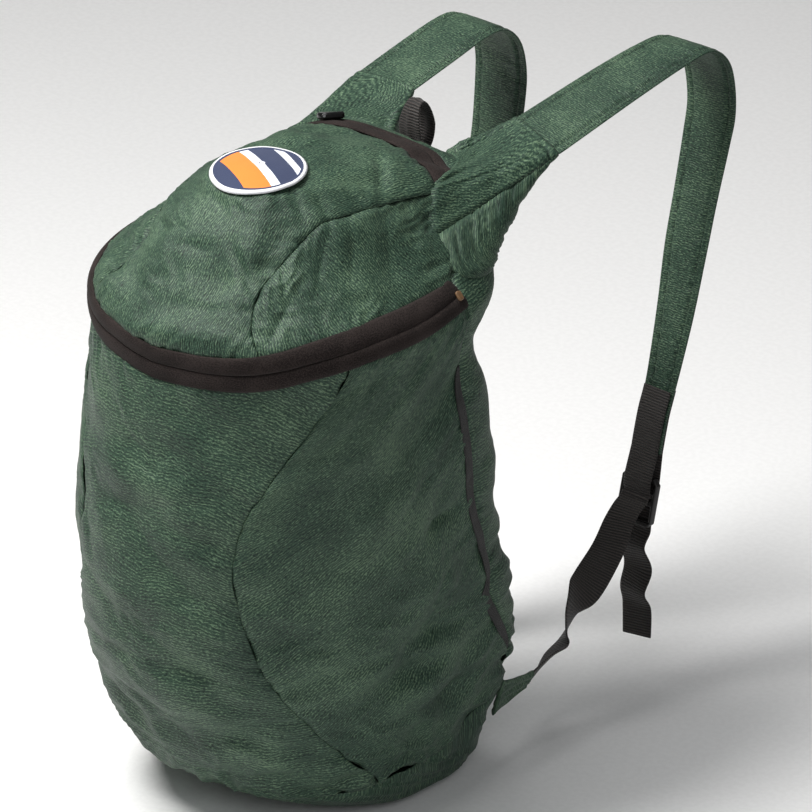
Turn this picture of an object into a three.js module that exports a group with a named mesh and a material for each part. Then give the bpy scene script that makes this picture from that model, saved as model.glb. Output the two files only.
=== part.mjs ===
// A packable daypack of thin crinkled nylon, stuffed full and held up by its shoulder straps as if worn.
// Millimetres. +X is the bag's right side, +Y points from the bag to the wearer's back, +Z is up.
// The origin is on the back panel's top centre, between the strap roots, where the bag hangs on its wearer.
import * as THREE from 'three';

// Driving dimensions of the bag body
const BODY_HEIGHT = 467;
const BODY_HALF_WIDTH = 131;
const BODY_FRONT = 147;
const BODY_BACK = 129;
const CLOTH = 1.4;
const SEAM_GAP = 0.4;
const SURFACE_GAP = 0.35;

// Driving dimensions of the trims
const ZIP_WALL = 2;
const ZIP_PROUD = 1.4;
const TOP_ZIP_PROUD = 0.3;
const TOP_ZIP_HALF_LENGTH = 73;
const TOP_ZIP_WIDTH = 23;
const TOP_ZIP_SET_BACK = 94;
const TOP_ZIP_BOW = 14;
const END_STOP_LENGTH = 7;
const END_STOP_WIDTH = 5;
const SLIDER_LENGTH = 19;
const SLIDER_WIDTH = 11;
const SLIDER_HEIGHT = 5;
const SLIDER_LIFT = 0.6;
const PATCH_DIAMETER = 65;
const PATCH_WALL = 1.2;
const PATCH_FOOT = 0.9;
const RIBBON_WIDTH = 9;
const RIBBON_WALL = 1;
const RIBBON_LIFT = 0.8;

// Driving dimensions of the straps; the arch is how far they stand out behind the back
const STRAP_ARCH = 221;
const STRAP_WIDTH = 51;
const STRAP_WALL = 3.2;
const WING_WIDTH = 52;
const WING_TIP_DEPTH = 7;
const WING_LIFT = 1.6;
const WEBBING_WIDTH = 25;
const WEBBING_WALL = 1.6;
const WEBBING_CLEARANCE = 1;
const LOCK_SIDE = 3;
const LOCK_WIDTH = WEBBING_WIDTH + 2 * (WEBBING_CLEARANCE + LOCK_SIDE);
const LOCK_HEIGHT = 36;
const LOCK_WALL = 5;
const LOCK_BAR = 5;
const LOCK_CORNER = 4;
const LOCK_BEVEL = 0.8;
const LOCK_LEAN_DEGREES = 14;
const TAIL_DROP = 87;
const TAB_ROOT_WIDTH = 32;
const TAB_WALL = 3;
const GRAB_WIDTH = 20;
const GRAB_HEIGHT = 34;
const GRAB_DEPTH = 15.3;
const GRAB_ASIDE = -5;

const { lerp, degToRad, clamp } = THREE.MathUtils;
const vec = (x, y, z) => new THREE.Vector3(x, y, z);

const finishes = {
  nylon: { color: 0x34503f, roughness: 0.72, metalness: 0 },
  strap: { color: 0x3b5846, roughness: 0.78, metalness: 0 },
  zip: { color: 0x2f2927, roughness: 0.85, metalness: 0 },
  webbing: { color: 0x231d1b, roughness: 0.85, metalness: 0 },
  ribbon: { color: 0x1a1716, roughness: 0.7, metalness: 0 },
  plastic: { color: 0x141414, roughness: 0.35, metalness: 0 },
  enamel: { color: 0x111111, roughness: 0.25, metalness: 0.4 },
  stop: { color: 0x8a6a46, roughness: 0.6, metalness: 0 },
  label: { color: 0x2f3a5c, roughness: 0.7, metalness: 0 },
};

// Turns short tables into rows with named columns
const table = (columns, rows) => rows.map((row) => Object.fromEntries(columns.map((name, k) => [name, row[k]])));

// Horizontal sections from the base up, as shares of the body's own sizes.
// level is of the height, halfWidth of the half width, front and shift of the front reach,
// back of the back reach; the last two say how square the front and back of the section are.
const sections = table(['level', 'shift', 'halfWidth', 'front', 'back', 'frontSquare', 'backSquare'], [
  [0.0, 0.23, 0.015, 0.014, 0.015, 2.0, 2.0],
  [0.004, 0.2, 0.67, 0.374, 0.465, 2.2, 4.0],
  [0.03, 0.1, 0.786, 0.54, 0.713, 2.2, 4.5],
  [0.075, 0.03, 0.847, 0.69, 0.822, 2.2, 5.0],
  [0.15, 0.0, 0.9, 0.825, 0.977, 2.2, 5.0],
  [0.225, 0.0, 0.954, 0.918, 1.0, 2.2, 5.0],
  [0.321, 0.0, 0.985, 0.98, 0.938, 2.2, 5.0],
  [0.439, 0.0, 1.0, 1.0, 0.814, 2.2, 5.0],
  [0.557, 0.0, 1.0, 0.973, 0.76, 2.2, 5.0],
  [0.664, 0.0, 0.985, 0.912, 0.69, 2.2, 5.0],
  [0.739, 0.0, 0.97, 0.878, 0.64, 2.2, 5.0],
  [0.809, 0.0, 0.965, 0.885, 0.82, 2.2, 5.0],
  [0.857, 0.0, 0.81, 0.76, 0.93, 2.2, 5.5],
  [0.9, 0.0, 0.65, 0.645, 0.99, 2.1, 6.0],
  [0.93, 0.0, 0.56, 0.565, 1.01, 2.1, 6.0],
  [0.951, 0.02, 0.49, 0.515, 0.86, 2.2, 4.5],
  [0.97, 0.0, 0.4, 0.43, 0.64, 2.2, 3.5],
  [0.988, -0.09, 0.29, 0.28, 0.42, 2.2, 2.4],
  [0.997, -0.14, 0.15, 0.14, 0.19, 2.0, 2.0],
  [1.0, -0.15, 0.015, 0.014, 0.015, 2.0, 2.0],
]);

// Folds and dents pressed into the cloth: a place by angle and level, the fold's lean from the
// vertical, its length and width, and its depth (a negative depth stands proud).
const folds = table(['degrees', 'level', 'lean', 'length', 'width', 'depth'], [
  [66, 0.958, 10, 22, 9, 4.5],
  [-56, 0.905, 20, 34, 9, 3.5],
  [-30, 0.92, -30, 34, 10, 3],
  [-75, 0.87, 8, 40, 12, 2.5],
  [-110, 0.86, -10, 40, 12, 2.5],
  [8, 0.7, 60, 45, 14, 3.5],
  [172, 0.7, -60, 45, 14, 3.5],
  [-20, 0.58, 75, 60, 16, 3],
  [-95, 0.62, 85, 70, 16, 2.5],
  [-140, 0.5, 70, 60, 16, 3],
  [-50, 0.34, 75, 60, 18, 3],
  [-10, 0.24, 50, 50, 14, 3.5],
  [190, 0.24, -50, 50, 14, 3.5],
  [30, 0.12, 20, 36, 12, 4],
  [150, 0.12, -20, 36, 12, 4],
  [75, 0.5, 80, 60, 18, 3],
  [105, 0.3, 80, 60, 18, 3],
]);

// Seams, as the angle round the body at a level
const frontSeam = table(['level', 'degrees'], [
  [0.06, -13], [0.094, -16], [0.133, -26], [0.206, -39], [0.272, -49], [0.332, -55], [0.405, -59],
  [0.469, -61], [0.55, -58], [0.61, -51], [0.672, -42], [0.741, -31], [0.775, -27],
]);
const backSeam = table(['level', 'degrees'], [
  [0.13, 44], [0.19, 42], [0.238, 38], [0.274, 34], [0.302, 31], [0.334, 28], [0.373, 28], [0.413, 27],
  [0.458, 24], [0.503, 22], [0.565, 20], [0.623, 19], [0.692, 18], [0.775, 20], [0.82, 21.5], [0.845, 22.5],
  [0.865, 33], [0.895, 48], [0.93, 58],
]);

// Level lines round the body, by the angle from the front
const baseSeam = table(['fromFront', 'level'], [
  [0, 0.05], [55, 0.062], [84, 0.076], [106, 0.082], [114, 0.094], [120, 0.11], [126, 0.125], [134, 0.142],
  [150, 0.142], [180, 0.134],
]);
const zipLower = table(['fromFront', 'level'], [
  [0, 0.742], [28, 0.752], [41, 0.762], [54, 0.777], [74, 0.79], [93, 0.795], [104, 0.804], [112, 0.812],
]);
const zipUpper = table(['fromFront', 'level'], [
  [0, 0.79], [28, 0.802], [41, 0.813], [54, 0.826], [74, 0.836], [93, 0.838], [104, 0.84], [112, 0.844],
]);
const ZIP_END_DEGREES = 21;
const FRONT = -90;

// Lid side seam in plan, from the main zip to the back top corner, as shares of the half width
// and of the front reach
const lidSeam = table(['across', 'back'], [
  [0.6, -0.722], [0.5, -0.69], [0.435, -0.6], [0.43, -0.524], [0.455, -0.354], [0.46, -0.17], [0.487, -0.02],
  [0.518, 0.29], [0.545, 0.53], [0.56, 0.66], [0.575, 0.735],
]);
const LID_SEAM_START_DEGREES = -54;
const LID_SEAM_CORNER = 2;
const LID_SEAM_ZIP = 8;
const LID_SEAM_ZIP_END = 9;

const cubic = (a, b, c, d, f) =>
  b + 0.5 * f * (c - a + f * (2 * a - 5 * b + 4 * c - d + f * (3 * (b - c) + d - a)));

// Reads a column of a table smoothly between its rows
function column(rows, name, position) {
  const last = rows.length - 1;
  const i = clamp(Math.floor(position), 0, last - 1);
  const read = (k) => rows[clamp(k, 0, last)][name];
  return cubic(read(i - 1), read(i), read(i + 1), read(i + 2), position - i);
}

// The position in a table where a rising key reaches a value
function positionOf(rows, key, value) {
  let low = 0;
  let high = rows.length - 1;
  for (let step = 0; step < 40; step += 1) {
    const middle = (low + high) / 2;
    if (column(rows, key, middle) < value) low = middle;
    else high = middle;
  }
  return (low + high) / 2;
}

const lookUp = (rows, key, name, value) => column(rows, name, positionOf(rows, key, value));
const fromFront = (degrees) => {
  const turn = Math.abs((((degrees - FRONT) % 360) + 540) % 360 - 180);
  return turn;
};
const levelOn = (line, degrees) =>
  lookUp(line, 'fromFront', 'level', Math.min(fromFront(degrees), line[line.length - 1].fromFront));

// The smooth body surface before folds, at an angle and a position among the sections
function plainPoint(degrees, position) {
  const c = Math.cos(degToRad(degrees));
  const s = Math.sin(degToRad(degrees));
  const read = (name) => column(sections, name, position);
  const width = read('halfWidth') * BODY_HALF_WIDTH;
  const reach = s < 0 ? read('front') * BODY_FRONT : read('back') * BODY_BACK;
  const square = s < 0 ? read('frontSquare') : read('backSquare');
  const radius = (Math.abs(c / width) ** square + Math.abs(s / reach) ** square) ** (-1 / square);
  return vec(radius * c, read('shift') * BODY_FRONT + radius * s, read('level') * BODY_HEIGHT);
}

function normalAt(degrees, position) {
  const dDegrees = 1.5;
  const dPosition = 0.06;
  const top = sections.length - 1 - 0.01;
  const along = plainPoint(degrees + dDegrees, position).sub(plainPoint(degrees - dDegrees, position));
  const up = plainPoint(degrees, Math.min(position + dPosition, top))
    .sub(plainPoint(degrees, Math.max(position - dPosition, 0.01)));
  return along.cross(up).normalize();
}

const foldPlaces = folds.map((fold) => {
  const position = positionOf(sections, 'level', fold.level);
  const normal = normalAt(fold.degrees, position);
  const level = vec(0, 0, 1).cross(normal).normalize();
  const steep = normal.clone().cross(level);
  const lean = degToRad(fold.lean);
  const run = steep.clone().multiplyScalar(Math.cos(lean)).addScaledVector(level, Math.sin(lean));
  return { ...fold, centre: plainPoint(fold.degrees, position), run, side: normal.clone().cross(run) };
});

function foldDepth(point) {
  return foldPlaces.reduce((sum, fold) => {
    const away = point.clone().sub(fold.centre);
    const u = away.dot(fold.run) / fold.length;
    const v = away.dot(fold.side) / fold.width;
    return sum + fold.depth * Math.exp(-u * u - v * v);
  }, 0);
}

// A point of the cloth, standing proud of the outer face by the given height
function cloth(degrees, position, proud = 0) {
  const base = plainPoint(degrees, position);
  return base.clone().addScaledVector(normalAt(degrees, position), proud - foldDepth(base));
}

// Builds a closed wall from an outer and an inner grid of points. Rows run along i, columns along j.
// A ring closes on itself in j; hub closes the first row of a ring onto one outer and one inner point.
function wall(outer, inner, { ring = false, hub = null } = {}) {
  const rows = outer.length;
  const columns = outer[0].length;
  const positions = [...outer.flat(), ...inner.flat()];
  const at = (layer, i, j) => layer * rows * columns + i * columns + (j % columns);
  const triangles = [];
  const quad = (a, b, c, d) => triangles.push(a, b, c, a, c, d);
  const spans = ring ? columns : columns - 1;
  for (let i = 0; i < rows - 1; i += 1) {
    for (let j = 0; j < spans; j += 1) {
      quad(at(0, i, j), at(0, i, j + 1), at(0, i + 1, j + 1), at(0, i + 1, j));
      quad(at(1, i, j), at(1, i + 1, j), at(1, i + 1, j + 1), at(1, i, j + 1));
    }
  }
  for (let j = 0; j < spans; j += 1) {
    if (!hub) quad(at(0, 0, j), at(1, 0, j), at(1, 0, j + 1), at(0, 0, j + 1));
    quad(at(0, rows - 1, j), at(0, rows - 1, j + 1), at(1, rows - 1, j + 1), at(1, rows - 1, j));
  }
  for (let i = 0; i < rows - 1 && !ring; i += 1) {
    quad(at(0, i, 0), at(0, i + 1, 0), at(1, i + 1, 0), at(1, i, 0));
    quad(at(0, i, columns - 1), at(1, i, columns - 1), at(1, i + 1, columns - 1), at(0, i + 1, columns - 1));
  }
  if (hub) {
    positions.push(hub.outer, hub.inner);
    const centre = positions.length - 2;
    for (let j = 0; j < spans; j += 1) {
      triangles.push(centre, at(0, 0, j + 1), at(0, 0, j));
      triangles.push(centre + 1, at(1, 0, j), at(1, 0, j + 1));
    }
  }
  return closedGeometry(positions, triangles);
}

function closedGeometry(points, triangles) {
  const volume = (list) => {
    let sum = 0;
    for (let k = 0; k < list.length; k += 3) {
      sum += points[list[k]].dot(points[list[k + 1]].clone().cross(points[list[k + 2]]));
    }
    return sum;
  };
  const index = volume(triangles) > 0 ? triangles : [...triangles].reverse();
  const geometry = new THREE.BufferGeometry();
  geometry.setAttribute('position', new THREE.Float32BufferAttribute(points.flatMap((p) => p.toArray()), 3));
  geometry.setIndex(index);
  geometry.computeVertexNormals();
  return geometry;
}

// Draws the edge of a grid back by the seam gap, so that neighbours never touch
function drawBack(grid, gap, { rowEnds = true, columnEnds = true } = {}) {
  const copy = grid.map((row) => row.map((p) => p.clone()));
  const pull = (p, towards) => {
    const step = towards.clone().sub(p);
    p.addScaledVector(step, Math.min(0.45, gap / Math.max(step.length(), 1e-6)));
  };
  const last = grid.length - 1;
  if (rowEnds) {
    grid[0].forEach((p, j) => pull(copy[0][j], grid[1][j]));
    grid[last].forEach((p, j) => pull(copy[last][j], grid[last - 1][j]));
  }
  if (columnEnds) {
    copy.forEach((row) => {
      const end = row.length - 1;
      pull(row[0], row[1].clone());
      pull(row[end], row[end - 1].clone());
    });
  }
  return copy;
}

// A cloth panel from a grid of [degrees, position] places on the body
function panel(places, { proud = 0, thickness = CLOTH, ring = false, hub = null } = {}) {
  const face = (height) => places.map((row) => row.map(([degrees, position]) => cloth(degrees, position, height)));
  const ends = { columnEnds: !ring };
  const outer = drawBack(face(proud), SEAM_GAP, { rowEnds: !hub, ...ends });
  const inner = drawBack(face(proud - thickness), SEAM_GAP, { rowEnds: !hub, ...ends });
  if (!hub) return wall(outer, inner, { ring });
  const [degrees, position] = hub;
  const pullRim = (grid) => {
    const last = grid.length - 1;
    grid[last].forEach((p, j) => {
      const step = grid[last - 1][j].clone().sub(p);
      p.addScaledVector(step, SEAM_GAP / step.length());
    });
    return grid;
  };
  return wall(pullRim(outer), pullRim(inner), {
    ring: true,
    hub: { outer: cloth(degrees, position, proud), inner: cloth(degrees, position, proud - thickness) },
  });
}

const model = new THREE.Group();
const body = new THREE.Group();
model.add(body);

function addPiece(name, geometry, finish) {
  const mesh = new THREE.Mesh(geometry, new THREE.MeshStandardMaterial(finishes[finish]));
  mesh.name = name;
  body.add(mesh);
  return mesh;
}

const steps = (count) => Array.from({ length: count + 1 }, (unused, k) => k / count);
const mirrorDegrees = (degrees) => 180 - degrees;
const mirrorPlaces = (places) => places.map((row) => row.map(([d, p]) => [mirrorDegrees(d), p]));

// The body below the main zip: a height share runs from the base seam to the zip's lower edge
const wallLevel = (degrees, share) => lerp(levelOn(baseSeam, degrees), levelOn(zipLower, degrees), share);

function seamPlace(seam, share) {
  let degrees = seam[0].degrees;
  for (let step = 0; step < 25; step += 1) {
    degrees = lookUp(seam, 'level', 'degrees', wallLevel(degrees, share));
  }
  return degrees;
}

const WALL_ROWS = 13;
const FRONT_COLUMNS = 14;
const SIDE_COLUMNS = 6;
const BACK_COLUMNS = 10;
const heightShares = steps(WALL_ROWS);
const onWall = (degrees, share) => [degrees, positionOf(sections, 'level', wallLevel(degrees, share))];

const frontPlaces = heightShares.map((share) => {
  const right = seamPlace(frontSeam, share);
  const left = mirrorDegrees(right) - 360;
  return steps(FRONT_COLUMNS).map((u) => onWall(lerp(left, right, u), share));
});
const sidePlaces = heightShares.map((share) => {
  const front = seamPlace(frontSeam, share);
  const back = seamPlace(backSeam, share);
  return steps(SIDE_COLUMNS).map((u) => onWall(lerp(front, back, u), share));
});

addPiece('front_panel', panel(frontPlaces), 'nylon');
addPiece('side_panel_right', panel(sidePlaces), 'nylon');
addPiece('side_panel_left', panel(mirrorPlaces(sidePlaces)), 'nylon');

// The back panel carries on past the zip's ends to the back top edge
const UPPER_ROWS = 6;
const zipEndLevel = zipUpper[zipUpper.length - 1].level;
const backTopLevel = backSeam[backSeam.length - 1].level;
const upperLevels = steps(UPPER_ROWS).map((share) => lerp(zipEndLevel, backTopLevel, share));
const upperBackPlaces = upperLevels.map((level) => {
  const right = lookUp(backSeam, 'level', 'degrees', level);
  return steps(BACK_COLUMNS).map((u) => [
    lerp(right, mirrorDegrees(right), u), positionOf(sections, 'level', level),
  ]);
});
const lowerBackPlaces = heightShares.map((share) => {
  const right = seamPlace(backSeam, share);
  return steps(BACK_COLUMNS).map((u) => onWall(lerp(right, mirrorDegrees(right), u), share));
});
addPiece('back_panel', panel([...lowerBackPlaces, ...upperBackPlaces]), 'nylon');

// The base panel fills the ring of the base seam
const BASE_RINGS = [0.22, 0.42, 0.6, 0.8, 1];
const baseRim = [
  ...frontPlaces[0].slice(0, -1),
  ...sidePlaces[0].slice(0, -1),
  ...lowerBackPlaces[0].slice(0, -1),
  ...mirrorPlaces(sidePlaces)[0].reverse().slice(0, -1),
];
const basePlaces = BASE_RINGS.map((share) => baseRim.map(([degrees, position]) => [degrees, position * share]));
addPiece('base_panel', panel(basePlaces, { hub: [0, 0] }), 'nylon');

// Places on the lid are found on a disk whose rim is the zip and whose centre is the crown
const CROWN = sections.length - 1;
const RIM = positionOf(sections, 'level', zipUpper[0].level);
const toDisk = ([degrees, position]) => {
  const radius = (CROWN - position) / (CROWN - RIM);
  return new THREE.Vector2(Math.cos(degToRad(degrees)), Math.sin(degToRad(degrees))).multiplyScalar(radius);
};
const fromDisk = (point) => {
  const position = CROWN - point.length() * (CROWN - RIM);
  return [THREE.MathUtils.radToDeg(Math.atan2(point.y, point.x)), Math.min(position, CROWN - 0.02)];
};

// The place whose plan position is x, y, on the lid above the given lowest level
function planPlace(x, y, lowest = 0.8) {
  let low = positionOf(sections, 'level', lowest);
  let high = CROWN - 0.02;
  const outside = (position) => {
    const shift = column(sections, 'shift', position) * BODY_FRONT;
    const degrees = THREE.MathUtils.radToDeg(Math.atan2(y - shift, x));
    const edge = plainPoint(degrees, position);
    return Math.hypot(x, y - shift) > Math.hypot(edge.x, edge.y - shift);
  };
  for (let step = 0; step < 40; step += 1) {
    const middle = (low + high) / 2;
    if (outside(middle)) high = middle;
    else low = middle;
  }
  const position = (low + high) / 2;
  const shift = column(sections, 'shift', position) * BODY_FRONT;
  return [THREE.MathUtils.radToDeg(Math.atan2(y - shift, x)), position];
}

// Four-sided patch of places between four edges, each a function of a share from 0 to 1
function patchPlaces(bottom, top, left, right, rows, columns) {
  return steps(rows).map((v) => steps(columns).map((u) => {
    const across = bottom(u).clone().lerp(top(u), v);
    const upward = left(v).clone().lerp(right(v), u);
    const corners = bottom(0).clone().lerp(bottom(1), u).lerp(top(0).clone().lerp(top(1), u), v);
    return fromDisk(across.add(upward).sub(corners));
  }));
}

const mirrorDisk = (edge) => (u) => {
  const point = edge(u);
  return new THREE.Vector2(-point.x, point.y);
};

const zipUpperPoint = (degrees) =>
  toDisk([degrees, positionOf(sections, 'level', levelOn(zipUpper, degrees))]);
const backTopDegrees = backSeam[backSeam.length - 1].degrees;
const backTopPosition = positionOf(sections, 'level', backTopLevel);
const backTopEdge = (u) => toDisk([lerp(mirrorDegrees(backTopDegrees), backTopDegrees, u), backTopPosition]);

// The lid seam starts on the zip and ends at the back top corner
const LID_END = lidSeam.length - 1;
const seamOnPlan = (position) => {
  const x = column(lidSeam, 'across', position) * BODY_HALF_WIDTH;
  const y = column(lidSeam, 'back', position) * BODY_FRONT;
  return toDisk(planPlace(x, y, y > 0 ? backTopLevel : zipUpper[0].level));
};
const seamStartShift = zipUpperPoint(LID_SEAM_START_DEGREES).sub(seamOnPlan(0));
const seamEndShift = backTopEdge(1).sub(seamOnPlan(LID_END));
const lidSeamPoint = (position) => seamOnPlan(position)
  .addScaledVector(seamStartShift, Math.max(0, 1 - position))
  .addScaledVector(seamEndShift, Math.max(0, position - LID_END + 1));
const seamStretch = (from, to) => (share) => lidSeamPoint(lerp(from, to, share));
const topZipPoint = (share, back) => {
  const x = lerp(-1, 1, share);
  const y = TOP_ZIP_SET_BACK - TOP_ZIP_BOW * x * x + back;
  return toDisk(planPlace(x * TOP_ZIP_HALF_LENGTH, y, backTopLevel));
};
const blendEnds = (edge, start, end) => (share) => edge(share).clone()
  .add(start.clone().sub(edge(0)).multiplyScalar(Math.max(0, 1 - 4 * share)))
  .add(end.clone().sub(edge(1)).multiplyScalar(Math.max(0, 4 * share - 3)));

const zipFront = blendEnds((u) => topZipPoint(u, 0),
  mirrorDisk(lidSeamPoint)(LID_SEAM_ZIP), lidSeamPoint(LID_SEAM_ZIP));
const zipBack = blendEnds((u) => topZipPoint(u, TOP_ZIP_WIDTH),
  mirrorDisk(lidSeamPoint)(LID_SEAM_ZIP_END), lidSeamPoint(LID_SEAM_ZIP_END));
const zipMiddle = (u) => zipFront(u).clone().lerp(zipBack(u), 0.5);

const lidFrontEdge = (u) => zipUpperPoint(lerp(
  mirrorDegrees(LID_SEAM_START_DEGREES) - 360, LID_SEAM_START_DEGREES, u));
const lidRightEdge = seamStretch(0, LID_SEAM_ZIP);
addPiece('lid_panel', panel(patchPlaces(
  lidFrontEdge, zipFront, mirrorDisk(lidRightEdge), lidRightEdge, 16, 10)), 'nylon');

const zipEdge = (from, to) => {
  const right = seamStretch(from, to);
  return { left: mirrorDisk(right), right };
};
const zipMiddleSeam = (LID_SEAM_ZIP + LID_SEAM_ZIP_END) / 2;
const frontHalf = zipEdge(LID_SEAM_ZIP, zipMiddleSeam);
const backHalf = zipEdge(zipMiddleSeam, LID_SEAM_ZIP_END);
const zipTape = { proud: TOP_ZIP_PROUD, thickness: ZIP_WALL };
const zipMiddleSewn = blendEnds(zipMiddle, frontHalf.left(1), frontHalf.right(1));
addPiece('top_zip_front_tape', panel(patchPlaces(
  zipFront, zipMiddleSewn, frontHalf.left, frontHalf.right, 2, BACK_COLUMNS), zipTape), 'zip');
addPiece('top_zip_back_tape', panel(patchPlaces(
  zipMiddleSewn, zipBack, backHalf.left, backHalf.right, 2, BACK_COLUMNS), zipTape), 'zip');

// The yoke closes the top behind the top zip
const yokeRight = seamStretch(LID_SEAM_ZIP_END, LID_END);
addPiece('yoke_panel', panel(patchPlaces(
  zipBack, backTopEdge, mirrorDisk(yokeRight), yokeRight, 3, BACK_COLUMNS)), 'nylon');

// The lid's sides run from the main zip up to the lid seam
const backSeamPoint = (level) => toDisk([
  lookUp(backSeam, 'level', 'degrees', level), positionOf(sections, 'level', level),
]);
const lidSideBottom = blendEnds(
  (u) => zipUpperPoint(lerp(LID_SEAM_START_DEGREES, ZIP_END_DEGREES, u)),
  lidSeamPoint(0), backSeamPoint(zipEndLevel));
const lidSideTop = seamStretch(LID_SEAM_CORNER, LID_END);
const lidSideBack = (v) => backSeamPoint(lerp(zipEndLevel, backTopLevel, v));
const lidSidePlaces = patchPlaces(
  lidSideBottom, lidSideTop, seamStretch(0, LID_SEAM_CORNER), lidSideBack, UPPER_ROWS, 14);
addPiece('lid_side_right', panel(lidSidePlaces), 'nylon');
addPiece('lid_side_left', panel(mirrorPlaces(lidSidePlaces)), 'nylon');

// The main zip's two tapes run round the front between the body and the lid
const ZIP_COLUMNS = 44;
const zipPlaces = (from, to) => [0, 0.5, 1].map((share) => steps(ZIP_COLUMNS).map((u) => {
  const degrees = lerp(mirrorDegrees(ZIP_END_DEGREES) - 360, ZIP_END_DEGREES, u);
  const low = levelOn(zipLower, degrees);
  const high = levelOn(zipUpper, degrees);
  return [degrees, positionOf(sections, 'level', lerp(low, high, lerp(from, to, share)))];
}));
const mainTape = { proud: ZIP_PROUD, thickness: ZIP_WALL };
addPiece('main_zip_lower_tape', panel(zipPlaces(0, 0.5), mainTape), 'zip');
addPiece('main_zip_upper_tape', panel(zipPlaces(0.5, 1), mainTape), 'zip');

// A small hard piece seated on the cloth: its foot follows the surface and its top is crowned.
// Its corners are a share of its width and its bevel a share of its height.
const SEATED_CORNER = 0.35;
const SEATED_BEVEL = 0.25;
function seated(place, length, width, height, turn, lift) {
  const [degrees, position] = place;
  const centre = cloth(degrees, position, lift);
  const normal = normalAt(degrees, position);
  const level = vec(0, 0, 1).cross(normal).normalize();
  const steep = normal.clone().cross(level).normalize();
  const shape = new THREE.Shape();
  const corner = Math.min(length, width) * SEATED_CORNER;
  const [a, b] = [length / 2, width / 2];
  shape.moveTo(-a + corner, -b);
  shape.lineTo(a - corner, -b);
  shape.quadraticCurveTo(a, -b, a, -b + corner);
  shape.lineTo(a, b - corner);
  shape.quadraticCurveTo(a, b, a - corner, b);
  shape.lineTo(-a + corner, b);
  shape.quadraticCurveTo(-a, b, -a, b - corner);
  shape.lineTo(-a, -b + corner);
  shape.quadraticCurveTo(-a, -b, -a + corner, -b);
  const bevel = height * SEATED_BEVEL;
  const geometry = new THREE.ExtrudeGeometry(shape, {
    depth: height - 2 * bevel, bevelEnabled: true, bevelThickness: bevel, bevelSize: bevel,
    bevelOffset: -bevel, bevelSegments: 1, curveSegments: 2,
  });
  geometry.translate(0, 0, bevel);
  geometry.rotateZ(degToRad(turn));
  geometry.applyMatrix4(new THREE.Matrix4().makeBasis(level, steep, normal).setPosition(centre));
  return geometry;
}

const zipCentrePlace = (degrees) => [degrees, positionOf(sections, 'level',
  (levelOn(zipLower, degrees) + levelOn(zipUpper, degrees)) / 2)];
const STOP_DEGREES = 19;
const STOP_HEIGHT = 2;
addPiece('main_zip_end_stop', seated(zipCentrePlace(STOP_DEGREES), END_STOP_WIDTH, END_STOP_LENGTH, STOP_HEIGHT, 0,
  ZIP_PROUD + SLIDER_LIFT), 'stop');
const SLIDER_DEGREES = 164;
addPiece('main_zip_slider', seated(zipCentrePlace(SLIDER_DEGREES), SLIDER_LENGTH, SLIDER_WIDTH, SLIDER_HEIGHT, 0,
  ZIP_PROUD + SLIDER_LIFT), 'enamel');
const SLIDER_SHARE = 0.16;
const TOP_SLIDER_TURN = 20;
addPiece('top_zip_slider', seated(fromDisk(zipMiddleSewn(SLIDER_SHARE)), SLIDER_LENGTH, SLIDER_WIDTH,
  SLIDER_HEIGHT, TOP_SLIDER_TURN, TOP_ZIP_PROUD + SURFACE_GAP), 'enamel');

// The round patch lies on the crown of the lid
const PATCH_CENTRE_BACK = -0.17;
const PATCH_RINGS = [0.34, 0.68, 1];
const PATCH_SIDES = 28;
const PATCH_LOWEST_LEVEL = 0.93;
function patchGeometry() {
  const centreY = PATCH_CENTRE_BACK * BODY_FRONT;
  const face = (height) => PATCH_RINGS.map((share) => Array.from({ length: PATCH_SIDES }, (unused, k) => {
    const turn = (2 * Math.PI * k) / PATCH_SIDES;
    const x = Math.cos(turn) * (PATCH_DIAMETER / 2) * share;
    const y = centreY + Math.sin(turn) * (PATCH_DIAMETER / 2) * share;
    return cloth(...planPlace(x, y, PATCH_LOWEST_LEVEL), height);
  }));
  const hubPlace = planPlace(0, centreY, PATCH_LOWEST_LEVEL);
  return wall(face(PATCH_FOOT + PATCH_WALL), face(PATCH_FOOT), {
    ring: true,
    hub: { outer: cloth(...hubPlace, PATCH_FOOT + PATCH_WALL), inner: cloth(...hubPlace, PATCH_FOOT) },
  });
}
addPiece('label_patch', patchGeometry(), 'label');

// The ribbon sewn into each side's back seam, below the zip; it narrows to a share of its width
// within a share of its length from each end
const RIBBON_END_SHARE = 0.35;
const RIBBON_TAPER_SHARE = 1 / 6;
function ribbonGeometry(mirrored) {
  const used = (mirrored ? mirrorPlaces(sidePlaces) : sidePlaces).slice(1, -1);
  const face = (height) => used.map((row, i) => {
    const v = i / (used.length - 1);
    const width = RIBBON_WIDTH * Math.min(1, RIBBON_END_SHARE + Math.min(v, 1 - v) / RIBBON_TAPER_SHARE);
    const edge = cloth(...row[SIDE_COLUMNS], height);
    const step = cloth(...row[SIDE_COLUMNS - 1], height).sub(edge).normalize();
    return [width + SEAM_GAP, SEAM_GAP].map((away) => edge.clone().addScaledVector(step, away));
  });
  return wall(face(RIBBON_LIFT + RIBBON_WALL), face(RIBBON_LIFT));
}
addPiece('side_ribbon_right', ribbonGeometry(false), 'ribbon');
addPiece('side_ribbon_left', ribbonGeometry(true), 'ribbon');

// Places beside and behind the back: across as a share of the body's half width, behind as a
// share of the strap's arch and level as a share of the body's height
const sideSign = { right: 1, left: -1 };
const behindBack = (row, side) => vec(
  sideSign[side] * row.across * BODY_HALF_WIDTH, BODY_BACK + row.behind * STRAP_ARCH, row.level * BODY_HEIGHT);

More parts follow.
